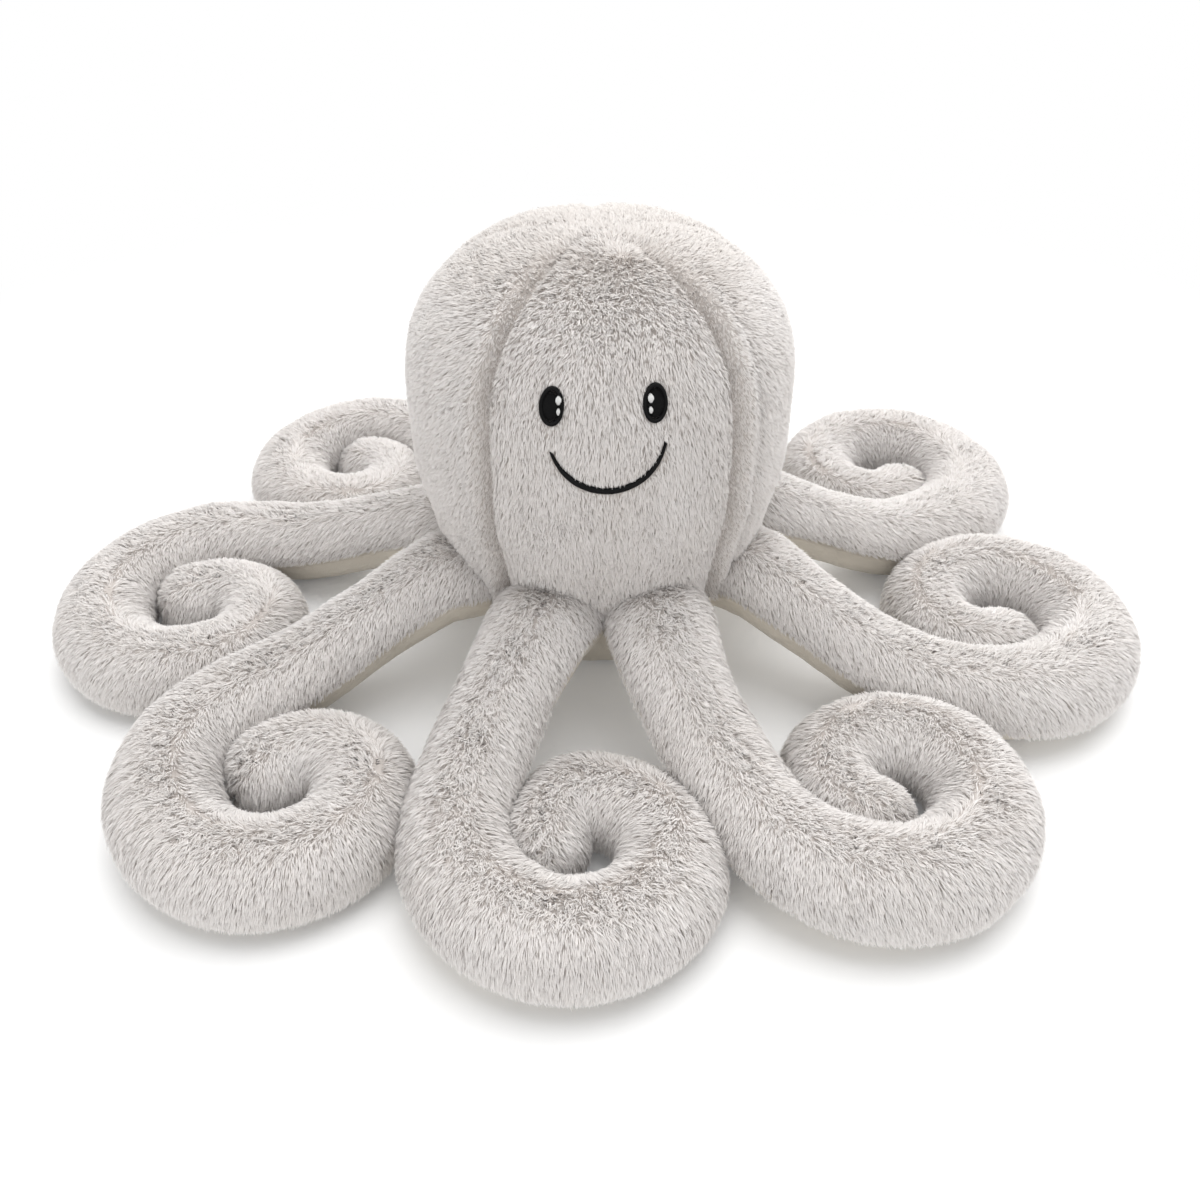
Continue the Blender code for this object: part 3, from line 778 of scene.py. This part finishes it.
# Head panels: the pile runs down from a whorl at the crown and is swept back on both sides. It
# parts at the seams, where it is clipped short, and is ruffled at the crown and the forehead.
HEAD_PILE = 0.0055
HEAD_LIFT = 29.0
HEAD_SEED = 100
WHORL = (0.010, -0.030)
WHORL_HEIGHTS = (0.178, 0.226)
FLAT_TOP_HEIGHTS = (0.205, 0.228)
SWEEP = 0.75
SWEEP_STARTS = (28.0, 60.0)
SWEEP_ENDS = (120.0, 175.0)
HEAD_DRIFT = 0.35
OFF_POLE = (0.015, 0.055)
SEAM_PART = 1.3
SEAM_PART_REACH = 0.0055
# painted shade: how much darker the pile is painted along the seams
SEAM_PAINTED_SHADE = 0.20
SEAM_SHORT = 0.55
SEAM_SHORT_REACH = 0.008
WELT_SHORT_REACH = 0.010
HEAD_RUFFLE = 0.10
HEAD_RUFFLE_SPREAD = 0.45
FOREHEAD = (-0.018, -0.066)
FOREHEAD_REACH = (0.022, 0.016)
FOREHEAD_HEIGHT = 0.19
FOREHEAD_RUFFLE = 0.16
# painted light: how much paler the pile is painted over the forehead
FOREHEAD_PAINTED_LIGHT = 0.25
TOP_HEIGHTS = (0.205, 0.226)
TOP_RUFFLE = 0.30
TOP_BACK = (-0.060, -0.025)
# painted shade: how much darker the pile is painted over the back of the crown
CROWN_BACK_PAINTED_SHADE = 0.60
HEAD_TONE = 0.62
HEAD_TONE_SPREAD = 0.25
LENGTH_WANDER = 0.1
LIFT_WANDER = 5.0
ROOT_MARGIN = 0.002
# scale and seed of each noise
HEAD_NOISE = {
    "drift": (0.018, 3),
    "ruffle": (0.022, 5),
    "tone": (0.03, 8),
    "length": (0.03, 2),
    "lift": (0.012, 6),
}


def head_pile(name, number, welts, points, normals, turn, edge):
    """The pile of one head panel, with none where a tentacle is sewn in."""
    radius = np.hypot(points[..., 0], points[..., 1])
    height = points[..., 2]
    off_pole = smooth(*OFF_POLE, radius)
    away = np.degrees(turn) - FACE_MIDDLE_ANGLE
    away = (away + 180.0) % 360.0 - 180.0
    down = np.stack([np.zeros_like(turn), np.zeros_like(turn), -np.ones_like(turn)], -1)
    from_whorl = points[..., :2] - np.array(WHORL) * smooth(*WHORL_HEIGHTS, height)[..., None]
    outward = unit(np.concatenate([from_whorl, np.zeros((*turn.shape, 1))], -1))
    leftward = np.stack([-np.sin(turn), np.cos(turn), np.zeros_like(turn)], -1)
    around = leftward * np.sign(away)[..., None]
    sideways = SWEEP * smooth(*SWEEP_STARTS, np.abs(away)) * (1.0 - smooth(*SWEEP_ENDS, np.abs(away)))
    flat_top = smooth(*FLAT_TOP_HEIGHTS, height)
    flow = down + outward * flat_top[..., None] + around * sideways[..., None]
    flow = flow + around * (HEAD_DRIFT * wander(points, *HEAD_NOISE["drift"]))[..., None]
    at_seam = np.exp(-((edge / SEAM_PART_REACH) ** 2))
    part = SEAM_PART * off_pole * at_seam * np.sign(turn.mean() - turn)
    flow = flow + leftward * part[..., None]
    off_forehead = (points[..., :2] - np.array(FOREHEAD)) ** 2 / np.array(FOREHEAD_REACH) ** 2
    forehead = np.exp(-off_forehead.sum(-1))
    top = smooth(*TOP_HEIGHTS, height)
    behind = top * smooth(*TOP_BACK, points[..., 1])
    ruffle = HEAD_RUFFLE + HEAD_RUFFLE_SPREAD * np.clip(wander(points, *HEAD_NOISE["ruffle"]), 0.0, 1.0)
    ruffle = ruffle + FOREHEAD_RUFFLE * forehead * (height > FOREHEAD_HEIGHT) + TOP_RUFFLE * top
    tone = HEAD_TONE + HEAD_TONE_SPREAD * wander(points, *HEAD_NOISE["tone"])
    # painted light over the forehead, painted shade along the seams and over the back of the crown
    tone = tone + FOREHEAD_PAINTED_LIGHT * forehead - SEAM_PAINTED_SHADE * (off_pole * at_seam) - CROWN_BACK_PAINTED_SHADE * behind
    bare = np.zeros(turn.shape)
    for line in lines.values():
        bare = np.maximum(bare, inside_tube(points, line, ROOT_MARGIN))
    welt = np.where(turn < turn.mean(), *welts)
    short_reach = SEAM_SHORT_REACH + WELT_SHORT_REACH * welt
    short = SEAM_SHORT * off_pole * (1.0 - smooth(0.0, short_reach, edge))
    length = HEAD_PILE * (1.0 + LENGTH_WANDER * wander(points, *HEAD_NOISE["length"])) * (1.0 - short)
    lift = HEAD_LIFT + LIFT_WANDER * wander(points, *HEAD_NOISE["lift"])
    return lay_pile(
        points, normals, flow, length, lift, np.clip(ruffle, 0, 1), np.clip(tone, 0, 1), bare,
        HEAD_SEED + number, trim_at_face if name == "face_panel" else None,
    )


# the face panel comes first, and the other four share what it leaves of the round
width = FACE_PANEL_ANGLE
start = FACE_SEAM_ANGLE
for number, (name, welts) in enumerate(HEAD_PANELS.items()):
    points, normals, turn, edge = head_panel(start, width, welts)
    pile = head_pile(name, number, welts, points, normals, turn, edge)
    panel = plush_piece(name + "_plush", points, normals, pile, grey_plush)
    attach(panel, "head")
    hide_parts(name)
    start += width
    width = (360.0 - FACE_PANEL_ANGLE) / (len(HEAD_PANELS) - 1)
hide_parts("head_filling", "pellet_pouch")


# Face: two satin-stitched eyes and a smile, sewn through the pile in black thread. Each eye is a
# domed field of upright stitches inside a raised rim of short slanted ones, with two white
# glints over it; the smile is one row of slanted stitches that thins towards its ends.
# each thread's second colour is painted into the grooves of its twist: painted shade on the white thread,
# painted light on the black
THREAD_BLACK = (0.003, 0.003, 0.0035, 1.0)
THREAD_BLACK_PAINTED_GROOVE = (0.007, 0.007, 0.007, 1.0)
THREAD_WHITE = (0.86, 0.86, 0.85, 1.0)
THREAD_WHITE_SHADED = (0.70, 0.70, 0.69, 1.0)
THREAD_TWIST = 2600.0
RIM_WIDTH = 0.0019
RIM_STITCHES = 76
RIM_SLANT = 28.0
RIM_RISE = 0.0027
RIM_LENGTH_SHARE = 1.25
FIELD_STITCHES = 19
FIELD_RISE = 0.0014
FIELD_DOME = 0.0011
STITCH_DEPTH = 0.0006
STITCH_OVERLAP = 1.5
GLINT_STITCHES = 6
GLINT_LIFT = 0.0031
GLINT_DOME = 0.0002
# which, then across, up, half width and half height as shares of the eye's half size
GLINTS = {
    "left_eye": (("upper", 0.56, 0.36, 0.21, 0.25), ("lower", 0.60, -0.20, 0.13, 0.20)),
    "right_eye": (("upper", -0.36, 0.29, 0.21, 0.25), ("lower", -0.42, -0.28, 0.14, 0.20)),
}
SMILE_STITCHES = 130
SMILE_SLANT = 38.0
SMILE_RISE = 0.0024
SMILE_END_SHARE = 0.45
SMILE_END_REACH = 0.3
SMILE_LENGTH_SHARE = 1.4
SMILE_OVERLAP = 1.3


def thread_material(name, colour, shaded):
    """Glossy embroidery thread, with a fine twist along it and painted light and shade in a second colour
    along the twist.
    """
    made, shader, start = new_material(name, {"Roughness": 0.34, "Specular IOR Level": 0.11})
    place = start.node("ShaderNodeTexCoord", output="Object")
    twist = start.node("ShaderNodeTexNoise", {"Vector": place, "Scale": THREAD_TWIST, "Detail": 2.0})
    # painted light and shade: the twist's grooves take the second colour
    start.tree.links.new(twist.mix(shaded, colour).output, shader.inputs["Base Color"])
    bump = start.node("ShaderNodeBump", {"Height": twist, "Distance": 0.0002, "Strength": 0.4})
    start.tree.links.new(bump.output, shader.inputs["Normal"])
    return made


black_thread = thread_material("black_embroidery_thread", THREAD_BLACK, THREAD_BLACK_PAINTED_GROOVE)
white_thread = thread_material("white_embroidery_thread", THREAD_WHITE, THREAD_WHITE_SHADED)

bpy.ops.object.select_all(action="DESELECT")
bpy.ops.mesh.primitive_uv_sphere_add(segments=8, ring_count=7, radius=0.5)
stitch = bpy.context.object
bpy.ops.object.mode_set(mode="EDIT")
bpy.ops.mesh.select_all(action="SELECT")
bpy.ops.transform.rotate(value=math.pi / 2, orient_axis="Y", center_override=(0, 0, 0))
bpy.ops.object.mode_set(mode="OBJECT")
stitch_points = np.array([corner.co for corner in stitch.data.vertices])


def on_face(angle, height, across, up, lift):
    """Points on the face: across and up along the cloth from a place, and lifted off it."""
    level = height + up / math.sqrt(1.0 + face_slope(height) ** 2)
    radius = head_radius(level)
    turn = np.radians(angle) + across / radius
    slope = face_slope(level, SLOPE_STEP / 2)
    out = unit(np.stack([np.cos(turn), np.sin(turn), -slope], -1))
    return np.stack([radius * np.cos(turn), radius * np.sin(turn), level], -1) + out * lift[..., None]


def sew(name, angle, height, stitches, material):
    """One object of many stitches, each (across, up, slant, length, width, rise)."""
    copies = []
    for across, up, slant, length, width, rise in stitches:
        copy = stitch.copy()
        copy.data = stitch.data.copy()
        bpy.context.scene.collection.objects.link(copy)
        lean = math.radians(slant)
        x = stitch_points[:, 0] * length
        y = stitch_points[:, 1] * width
        bow = 1.0 - (2.0 * stitch_points[:, 0]) ** 2
        lift = rise - STITCH_DEPTH * (1.0 - bow) + stitch_points[:, 2] * STITCH_DEPTH * 2
        spots = on_face(
            angle, height, across + x * math.cos(lean) - y * math.sin(lean),
            up + x * math.sin(lean) + y * math.cos(lean), lift,
        )
        copy.data.vertices.foreach_set("co", spots.astype(np.float32).ravel())
        copies.append(copy)
    bpy.ops.object.select_all(action="DESELECT")
    for copy in copies:
        copy.select_set(True)
    bpy.context.view_layer.objects.active = copies[0]
    bpy.ops.object.join()
    piece = bpy.context.object
    piece.name = name
    bpy.ops.object.mode_set(mode="EDIT")
    bpy.ops.mesh.select_all(action="SELECT")
    bpy.ops.mesh.normals_make_consistent(inside=False)
    bpy.ops.object.mode_set(mode="OBJECT")
    bpy.ops.object.shade_smooth()
    piece.data.materials.append(material)
    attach(piece, "head")
    return piece


def oval_stitches(across, up, half_width, half_height, count, rise, dome):
    """Upright stitches side by side that fill an oval."""
    made = []
    for number in range(count):
        share = (number + 0.5) / count * 2.0 - 1.0
        tall = math.sqrt(1.0 - share * share)
        width = 2.0 * half_width / count * STITCH_OVERLAP
        made.append((
            across + half_width * share, up, 90.0, 2.0 * half_height * tall, width,
            rise + dome * tall,
        ))
    return made


for name, (angle, height, tilt) in zip(("left_eye", "right_eye"), EYES):
    wide = EYE_HALF_WIDTH - RIM_WIDTH / 2
    tall = EYE_HALF_HEIGHT - RIM_WIDTH / 2
    around = math.tau * math.sqrt((wide * wide + tall * tall) / 2)
    stitches = oval_stitches(0.0, 0.0, wide, tall, FIELD_STITCHES, FIELD_RISE, FIELD_DOME)
    for number in range(RIM_STITCHES):
        turn = math.tau * number / RIM_STITCHES
        facing = math.degrees(math.atan2(math.sin(turn) / tall, math.cos(turn) / wide))
        stitches.append((
            wide * math.cos(turn), tall * math.sin(turn), facing + RIM_SLANT,
            RIM_WIDTH * RIM_LENGTH_SHARE, around / RIM_STITCHES * STITCH_OVERLAP, RIM_RISE,
        ))
    lean = math.radians(tilt)
    tilted = []
    for x, y, slant, *rest in stitches:
        across = x * math.cos(lean) - y * math.sin(lean)
        up = x * math.sin(lean) + y * math.cos(lean)
        tilted.append((across, up, slant + tilt, *rest))
    eye = sew(name + "_stitching", angle, height, tilted, black_thread)
    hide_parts(name)
    for which, x, y, half_width, half_height in GLINTS[name]:
        stitches = oval_stitches(
            x * EYE_HALF_WIDTH, y * EYE_HALF_HEIGHT, half_width * EYE_HALF_WIDTH,
            half_height * EYE_HALF_HEIGHT, GLINT_STITCHES, GLINT_LIFT, GLINT_DOME,
        )
        glint = sew(f"{name}_{which}_glint_stitching", angle, height, stitches, white_thread)
        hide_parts(f"{name}_{which}_glint")

stitches = []
for number in range(SMILE_STITCHES):
    share = (number + 0.5) / SMILE_STITCHES
    turn = math.radians(MOUTH_ENDS[0] + (MOUTH_ENDS[1] - MOUTH_ENDS[0]) * share)
    full = float(smooth(0.0, SMILE_END_REACH, min(share, 1.0 - share)))
    band = MOUTH_BAND * (SMILE_END_SHARE + (1.0 - SMILE_END_SHARE) * full)
    run = math.hypot(MOUTH_HALF_WIDTH * math.cos(turn), MOUTH_HALF_HEIGHT * math.sin(turn))
    step = run * math.radians(MOUTH_ENDS[1] - MOUTH_ENDS[0]) / SMILE_STITCHES
    stitches.append((
        MOUTH_HALF_WIDTH * math.sin(turn), -MOUTH_HALF_HEIGHT * math.cos(turn),
        math.degrees(turn) + 90.0 - SMILE_SLANT, 2.0 * band * SMILE_LENGTH_SHARE,
        step * STITCH_OVERLAP * SMILE_OVERLAP, SMILE_RISE,
    ))
smile = sew("smile_stitching", MOUTH_ANGLE, MOUTH_HEIGHT, stitches, black_thread)
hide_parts("mouth_stitching")
bpy.data.objects.remove(stitch)


# Cream suede: a short-nap knit, cream in the light, with a fine grain and soft blotches where
# the nap is brushed one way or the other.
CREAM = (0.86, 0.80, 0.70, 1.0)
CREAM_DARK = (0.76, 0.70, 0.60, 1.0)
BLOTCH_SCALE = 60.0
BLOTCH_SHARE = 0.7
BLOTCH_BUMP_SHARE = 0.6
GRAIN_SCALE = 1400.0
GRAIN_SHARE = 0.3

cream_suede, suede_shader, suede = new_material(
    "cream_suede_cloth", {"Roughness": 0.9, "Specular IOR Level": 0.2, "Sheen Weight": 0.3}
)
suede_place = suede.node("ShaderNodeTexCoord", output="Object")
blotches = suede.node("ShaderNodeTexNoise", {"Vector": suede_place, "Scale": BLOTCH_SCALE, "Detail": 3.0})
grain = suede.node("ShaderNodeTexNoise", {"Vector": suede_place, "Scale": GRAIN_SCALE, "Detail": 2.0})
suede_colour = (blotches * BLOTCH_SHARE + grain * GRAIN_SHARE).mix(CREAM_DARK, CREAM)
suede.tree.links.new(suede_colour.output, suede_shader.inputs["Base Color"])
nap_height = grain + blotches * BLOTCH_BUMP_SHARE
suede_bump = suede.node("ShaderNodeBump", {"Height": nap_height, "Distance": 0.0006, "Strength": 0.5})
suede.tree.links.new(suede_bump.output, suede_shader.inputs["Normal"])


def cloth_piece(name, points, normals, material):
    """An object of one closed sheet of cloth."""
    corners, quads = cloth(points, normals, BACKING)
    made = bpy.data.meshes.new(name)
    made.from_pydata(corners.tolist(), [], quads.tolist())
    made.shade_smooth()
    made.materials.append(material)
    piece = bpy.data.objects.new(name, made)
    bpy.context.scene.collection.objects.link(piece)
    return piece


# Base: a shallow bowl of the same suede under the head, gathered in at its rim and flat where
# the toy sits on it.
BASE_ROWS = 40
BASE_COLUMNS = 361
BASE_MIDDLE = (0.0, 0.0, 0.08)
# share of the way in, radius and height
BASE_OUTLINE = (
    (0.0, RIM_RADIUS, RIM_HEIGHT + 0.001),
    (0.30, 0.0735, 0.036),
    (0.55, 0.060, 0.014),
    (0.75, 0.045, 0.0012),
    (1.0, 0.0004, 0.0004),
)
GATHERS = 46
GATHER_DEPTH = 0.0011
GATHER_DRIFT = 2.2
GATHER_ENDS = (0.10, 0.50)
PUCKER_DEPTH = 0.0008
PUCKER_STARTS = (0.0, 0.1)
PUCKER_ENDS = (0.6, 0.75)
PUCKER_NOISE = (0.010, 12)
DRIFT_NOISE = (0.030, 14)

way_in = np.linspace(0.0, 1.0, BASE_ROWS)
base_turns = np.linspace(0.0, math.tau, BASE_COLUMNS)
places, radii, heights = zip(*BASE_OUTLINE)
base_radius = np.interp(way_in, places, radii)
base_height = np.interp(way_in, places, heights)
base_points = np.stack([
    base_radius[:, None] * np.cos(base_turns), base_radius[:, None] * np.sin(base_turns),
    np.repeat(base_height[:, None], len(base_turns), 1),
], -1)
base_normals = grid_normals(base_points, base_points - np.array(BASE_MIDDLE))
pucker = wander(base_points, *PUCKER_NOISE) * smooth(*PUCKER_STARTS, way_in)[:, None]
pucker = pucker * (1 - smooth(*PUCKER_ENDS, way_in))[:, None]
drift = GATHER_DRIFT * wander(base_points, *DRIFT_NOISE)
fold = np.cos(GATHERS * base_turns[None] + drift) * (1 - smooth(*GATHER_ENDS, way_in))[:, None]
base_points = base_points + base_normals * (PUCKER_DEPTH * pucker + GATHER_DEPTH * fold)[..., None]
base_points[:, -1] = base_points[:, 0]
base = cloth_piece("base_suede", base_points, base_normals, cream_suede)
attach(base, "head")
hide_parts("base_panel")


# Tentacle cloths: a plush upper, plumped where it has room beside it, and a suede underside that
# closes the tube below. The pile is ruffled along the crest and laid down both sides.
PLUSH_COLUMNS = 29
SUEDE_COLUMNS = 17
PLUMP = 0.0026
PLUMP_GAP = 0.0003
PLUMP_STARTS = (0.01, 0.05)
# how much fuller the inner coil is on its inner and outer side, and how much shorter its pile
COILS = {
    "front": (0.0022, 0.0050, 0.20),
    "front_left": (0.0060, 0.0022, 0.0),
    "left": (0.0045, 0.0035, 0.0),
    "back_left": (0.0035, 0.0030, 0.1),
    "back": (0.0030, 0.0030, 0.1),
    "back_right": (0.0035, 0.0030, 0.1),
    "right": (0.0040, 0.0030, 0.1),
    "front_right": (0.0045, 0.0035, 0.1),
}
FILL_STARTS = (0.5, 0.8)
COIL_RISE = 0.0048
COIL_RISE_STARTS = (0.45, 0.75)
SWELL_WANDER = 0.0007
SUEDE_WANDER = 0.0006
PLUSH_CLEAR = 0.0006
SUEDE_CLEAR = 0.0003
TENTACLE_PILE = 0.0065
TENTACLE_LIFT = 24.0
TENTACLE_SEED = 200
SIDE_LIFT = 3.0
NAP_SHARE = 0.45
AHEAD_SHARE = 0.15
TENTACLE_DRIFT = 0.30
PARTING_ANGLES = (6.0, 38.4)
CREST_ANGLES = (12.0, 36.0)
CREST_WANDER = 6.0
SIDE_RUFFLE = 0.06
CREST_RUFFLE = 0.70
CREST_RUFFLE_SHARES = (0.6, 0.4)
PATCH_RUFFLE = 0.35
PATCH_SHARES = (0.3, 0.7)
# painted shade: how much darker the pile is painted along the ruffled crest
CREST_PAINTED_SHADE = 0.06
TENTACLE_TONE = 0.68
TENTACLE_TONE_SPREAD = 0.2
INNER_SIDE = (0.3, 1.0)
INNER_STARTS = (0.35, 0.6)
INNER_CALM = 0.7
# painted light: how much paler the pile is painted on the inner side of the coil
INNER_PAINTED_LIGHT = 0.15
HEM_SHARES = (0.72, 1.0)
HEM_LENGTHS = (0.10, 0.19)
HEM_LIFT = 26.0
HEM_SHORT = 0.35
BARE_DEPTH = 0.0015
BARE_HEIGHT = 0.03
# scale and first seed of each noise
TENTACLE_NOISE = {
    "swell": (0.022, 20),
    "drift": (0.016, 40),
    "crest": (0.02, 60),
    "ruffle": (0.02, 80),
    "patches": (0.02, 90),
    "tone": (0.03, 70),
    "length": (0.03, 30),
    "lift": (0.012, 50),
    "suede": (0.009, 10),
}


def tentacle_noise(kind, points, number):
    """Smooth noise over one tentacle, different on each."""
    scale, seed = TENTACLE_NOISE[kind]
    return wander(points, scale, seed + number)


def plush_upper(name, number, line, angles):
    """The backing of a plush upper, plumped: (points, normals, sideways)."""
    length = line[4]
    points, outwards, side = tube_grid(line, angles)
    room = room_beside(points, lines, name)
    points[..., 2] = np.maximum(points[..., 2], PLUSH_CLEAR)
    normals = grid_normals(points, outwards)
    wound = length / length[-1]
    inner_fill, outer_fill, _ = COILS[name]
    fill = np.where(angles > 0, inner_fill, outer_fill)
    most = PLUMP + fill * smooth(*FILL_STARTS, wound)[:, None]
    fat = np.clip(room / 2 - PLUMP_GAP, 0.0, most) * smooth(*PLUMP_STARTS, length)[:, None]
    near_crest = np.cos(np.minimum(np.abs(angles), math.pi / 2)) ** 2
    coil = COIL_RISE * smooth(*COIL_RISE_STARTS, wound)[:, None] * near_crest
    swell = SWELL_WANDER * tentacle_noise("swell", points, number) + fat * np.sin(angles) ** 2 + coil
    points = points + normals * swell[..., None]
    points[..., 2] = np.maximum(points[..., 2], PLUSH_CLEAR)
    return points, normals, side


def tentacle_pile(name, number, line, angles, side, points, normals):
    """The pile of a plush upper: parted along its crest, with none where it runs into the head."""
    length = line[4]
    ahead = np.repeat(line[1][:, None], PLUSH_COLUMNS, 1)
    direction = math.radians(TENTACLES[name][0])
    nap = np.array([math.cos(direction), math.sin(direction), 0.0])
    down = side[:, None] * np.cos(angles)[..., None] * np.sign(angles)[..., None]
    down = down - np.array([0.0, 0.0, 1.0]) * np.abs(np.sin(angles))[..., None]
    leave = smooth(*PARTING_ANGLES, np.abs(np.degrees(angles)))
    flow = down * leave[..., None] + NAP_SHARE * nap + AHEAD_SHARE * ahead
    flow = flow + ahead * (TENTACLE_DRIFT * tentacle_noise("drift", points, number))[..., None]
    off_crest = np.degrees(angles) + CREST_WANDER * tentacle_noise("crest", points, number)
    crest = 1.0 - smooth(*CREST_ANGLES, np.abs(off_crest))
    inner = smooth(*INNER_SIDE, np.sin(angles)) * smooth(*INNER_STARTS, length / length[-1])[:, None]
    steady, uneven = CREST_RUFFLE_SHARES
    tousled = steady + uneven * tentacle_noise("ruffle", points, number)
    ruffle = SIDE_RUFFLE + CREST_RUFFLE * crest * tousled
    all_over, on_crest = PATCH_SHARES
    patches = np.clip(tentacle_noise("patches", points, number), 0, 1)
    ruffle = ruffle + PATCH_RUFFLE * (all_over + on_crest * crest) * patches
    ruffle = ruffle * (1.0 - INNER_CALM * inner)
    tone = TENTACLE_TONE + TENTACLE_TONE_SPREAD * tentacle_noise("tone", points, number)
    # painted shade along the crest and painted light on the inner side of the coil
    tone = tone - CREST_PAINTED_SHADE * crest + INNER_PAINTED_LIGHT * inner
    in_head = np.hypot(points[..., 0], points[..., 1]) < head_radius(points[..., 2]) - BARE_DEPTH
    bare = (in_head & (points[..., 2] > BARE_HEIGHT)).astype(float)
    share = np.abs(np.linspace(-1.0, 1.0, PLUSH_COLUMNS))
    hem = smooth(*HEM_SHARES, share) * (1.0 - smooth(*HEM_LENGTHS, length))[:, None]
    pile_length = TENTACLE_PILE * (1.0 + LENGTH_WANDER * tentacle_noise("length", points, number))
    pile_length = pile_length * (1.0 - HEM_SHORT * hem) * (1.0 - COILS[name][2] * inner)
    lift = TENTACLE_LIFT + LIFT_WANDER * tentacle_noise("lift", points, number)
    lift = lift + SIDE_LIFT * np.sin(angles) ** 2 + HEM_LIFT * hem
    return lay_pile(
        points, normals, flow, pile_length, lift, np.clip(ruffle, 0, 1), np.clip(tone, 0, 1), bare,
        TENTACLE_SEED + number,
    )


def suede_underside(number, line, seams):
    """The backing of a suede underside, from one seam to the other: (points, normals)."""
    share = np.linspace(0.0, 1.0, SUEDE_COLUMNS)
    angles = seams[:, None] + (math.tau - 2 * seams[:, None]) * share
    points, outwards, _ = tube_grid(line, angles)
    normals = grid_normals(points, outwards)
    ripple = SUEDE_WANDER * tentacle_noise("suede", points, number) * np.sin(math.pi * share)
    points = points + normals * ripple[..., None]
    points[..., 2] = np.maximum(points[..., 2], SUEDE_CLEAR)
    return points, normals


for number, (name, line) in enumerate(lines.items()):
    body = name + "_tentacle"
    seams = np.radians(seam_angle(line[4]))
    angles = seams[:, None] * np.linspace(-1.0, 1.0, PLUSH_COLUMNS)
    joint = next(j for j in frame["joints"] if j["child"] == body)
    points, normals, side = plush_upper(name, number, line, angles)
    pile = tentacle_pile(name, number, line, angles, side, points, normals)
    upper = plush_piece(body + "_upper", points, normals, pile, grey_plush)
    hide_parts(body + "_plush", body + "_filling")
    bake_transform(upper)
    points, normals = suede_underside(number, line, seams)
    lower = cloth_piece(body + "_suede", points, normals, cream_suede)
    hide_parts(body + "_underside")
    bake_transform(lower)
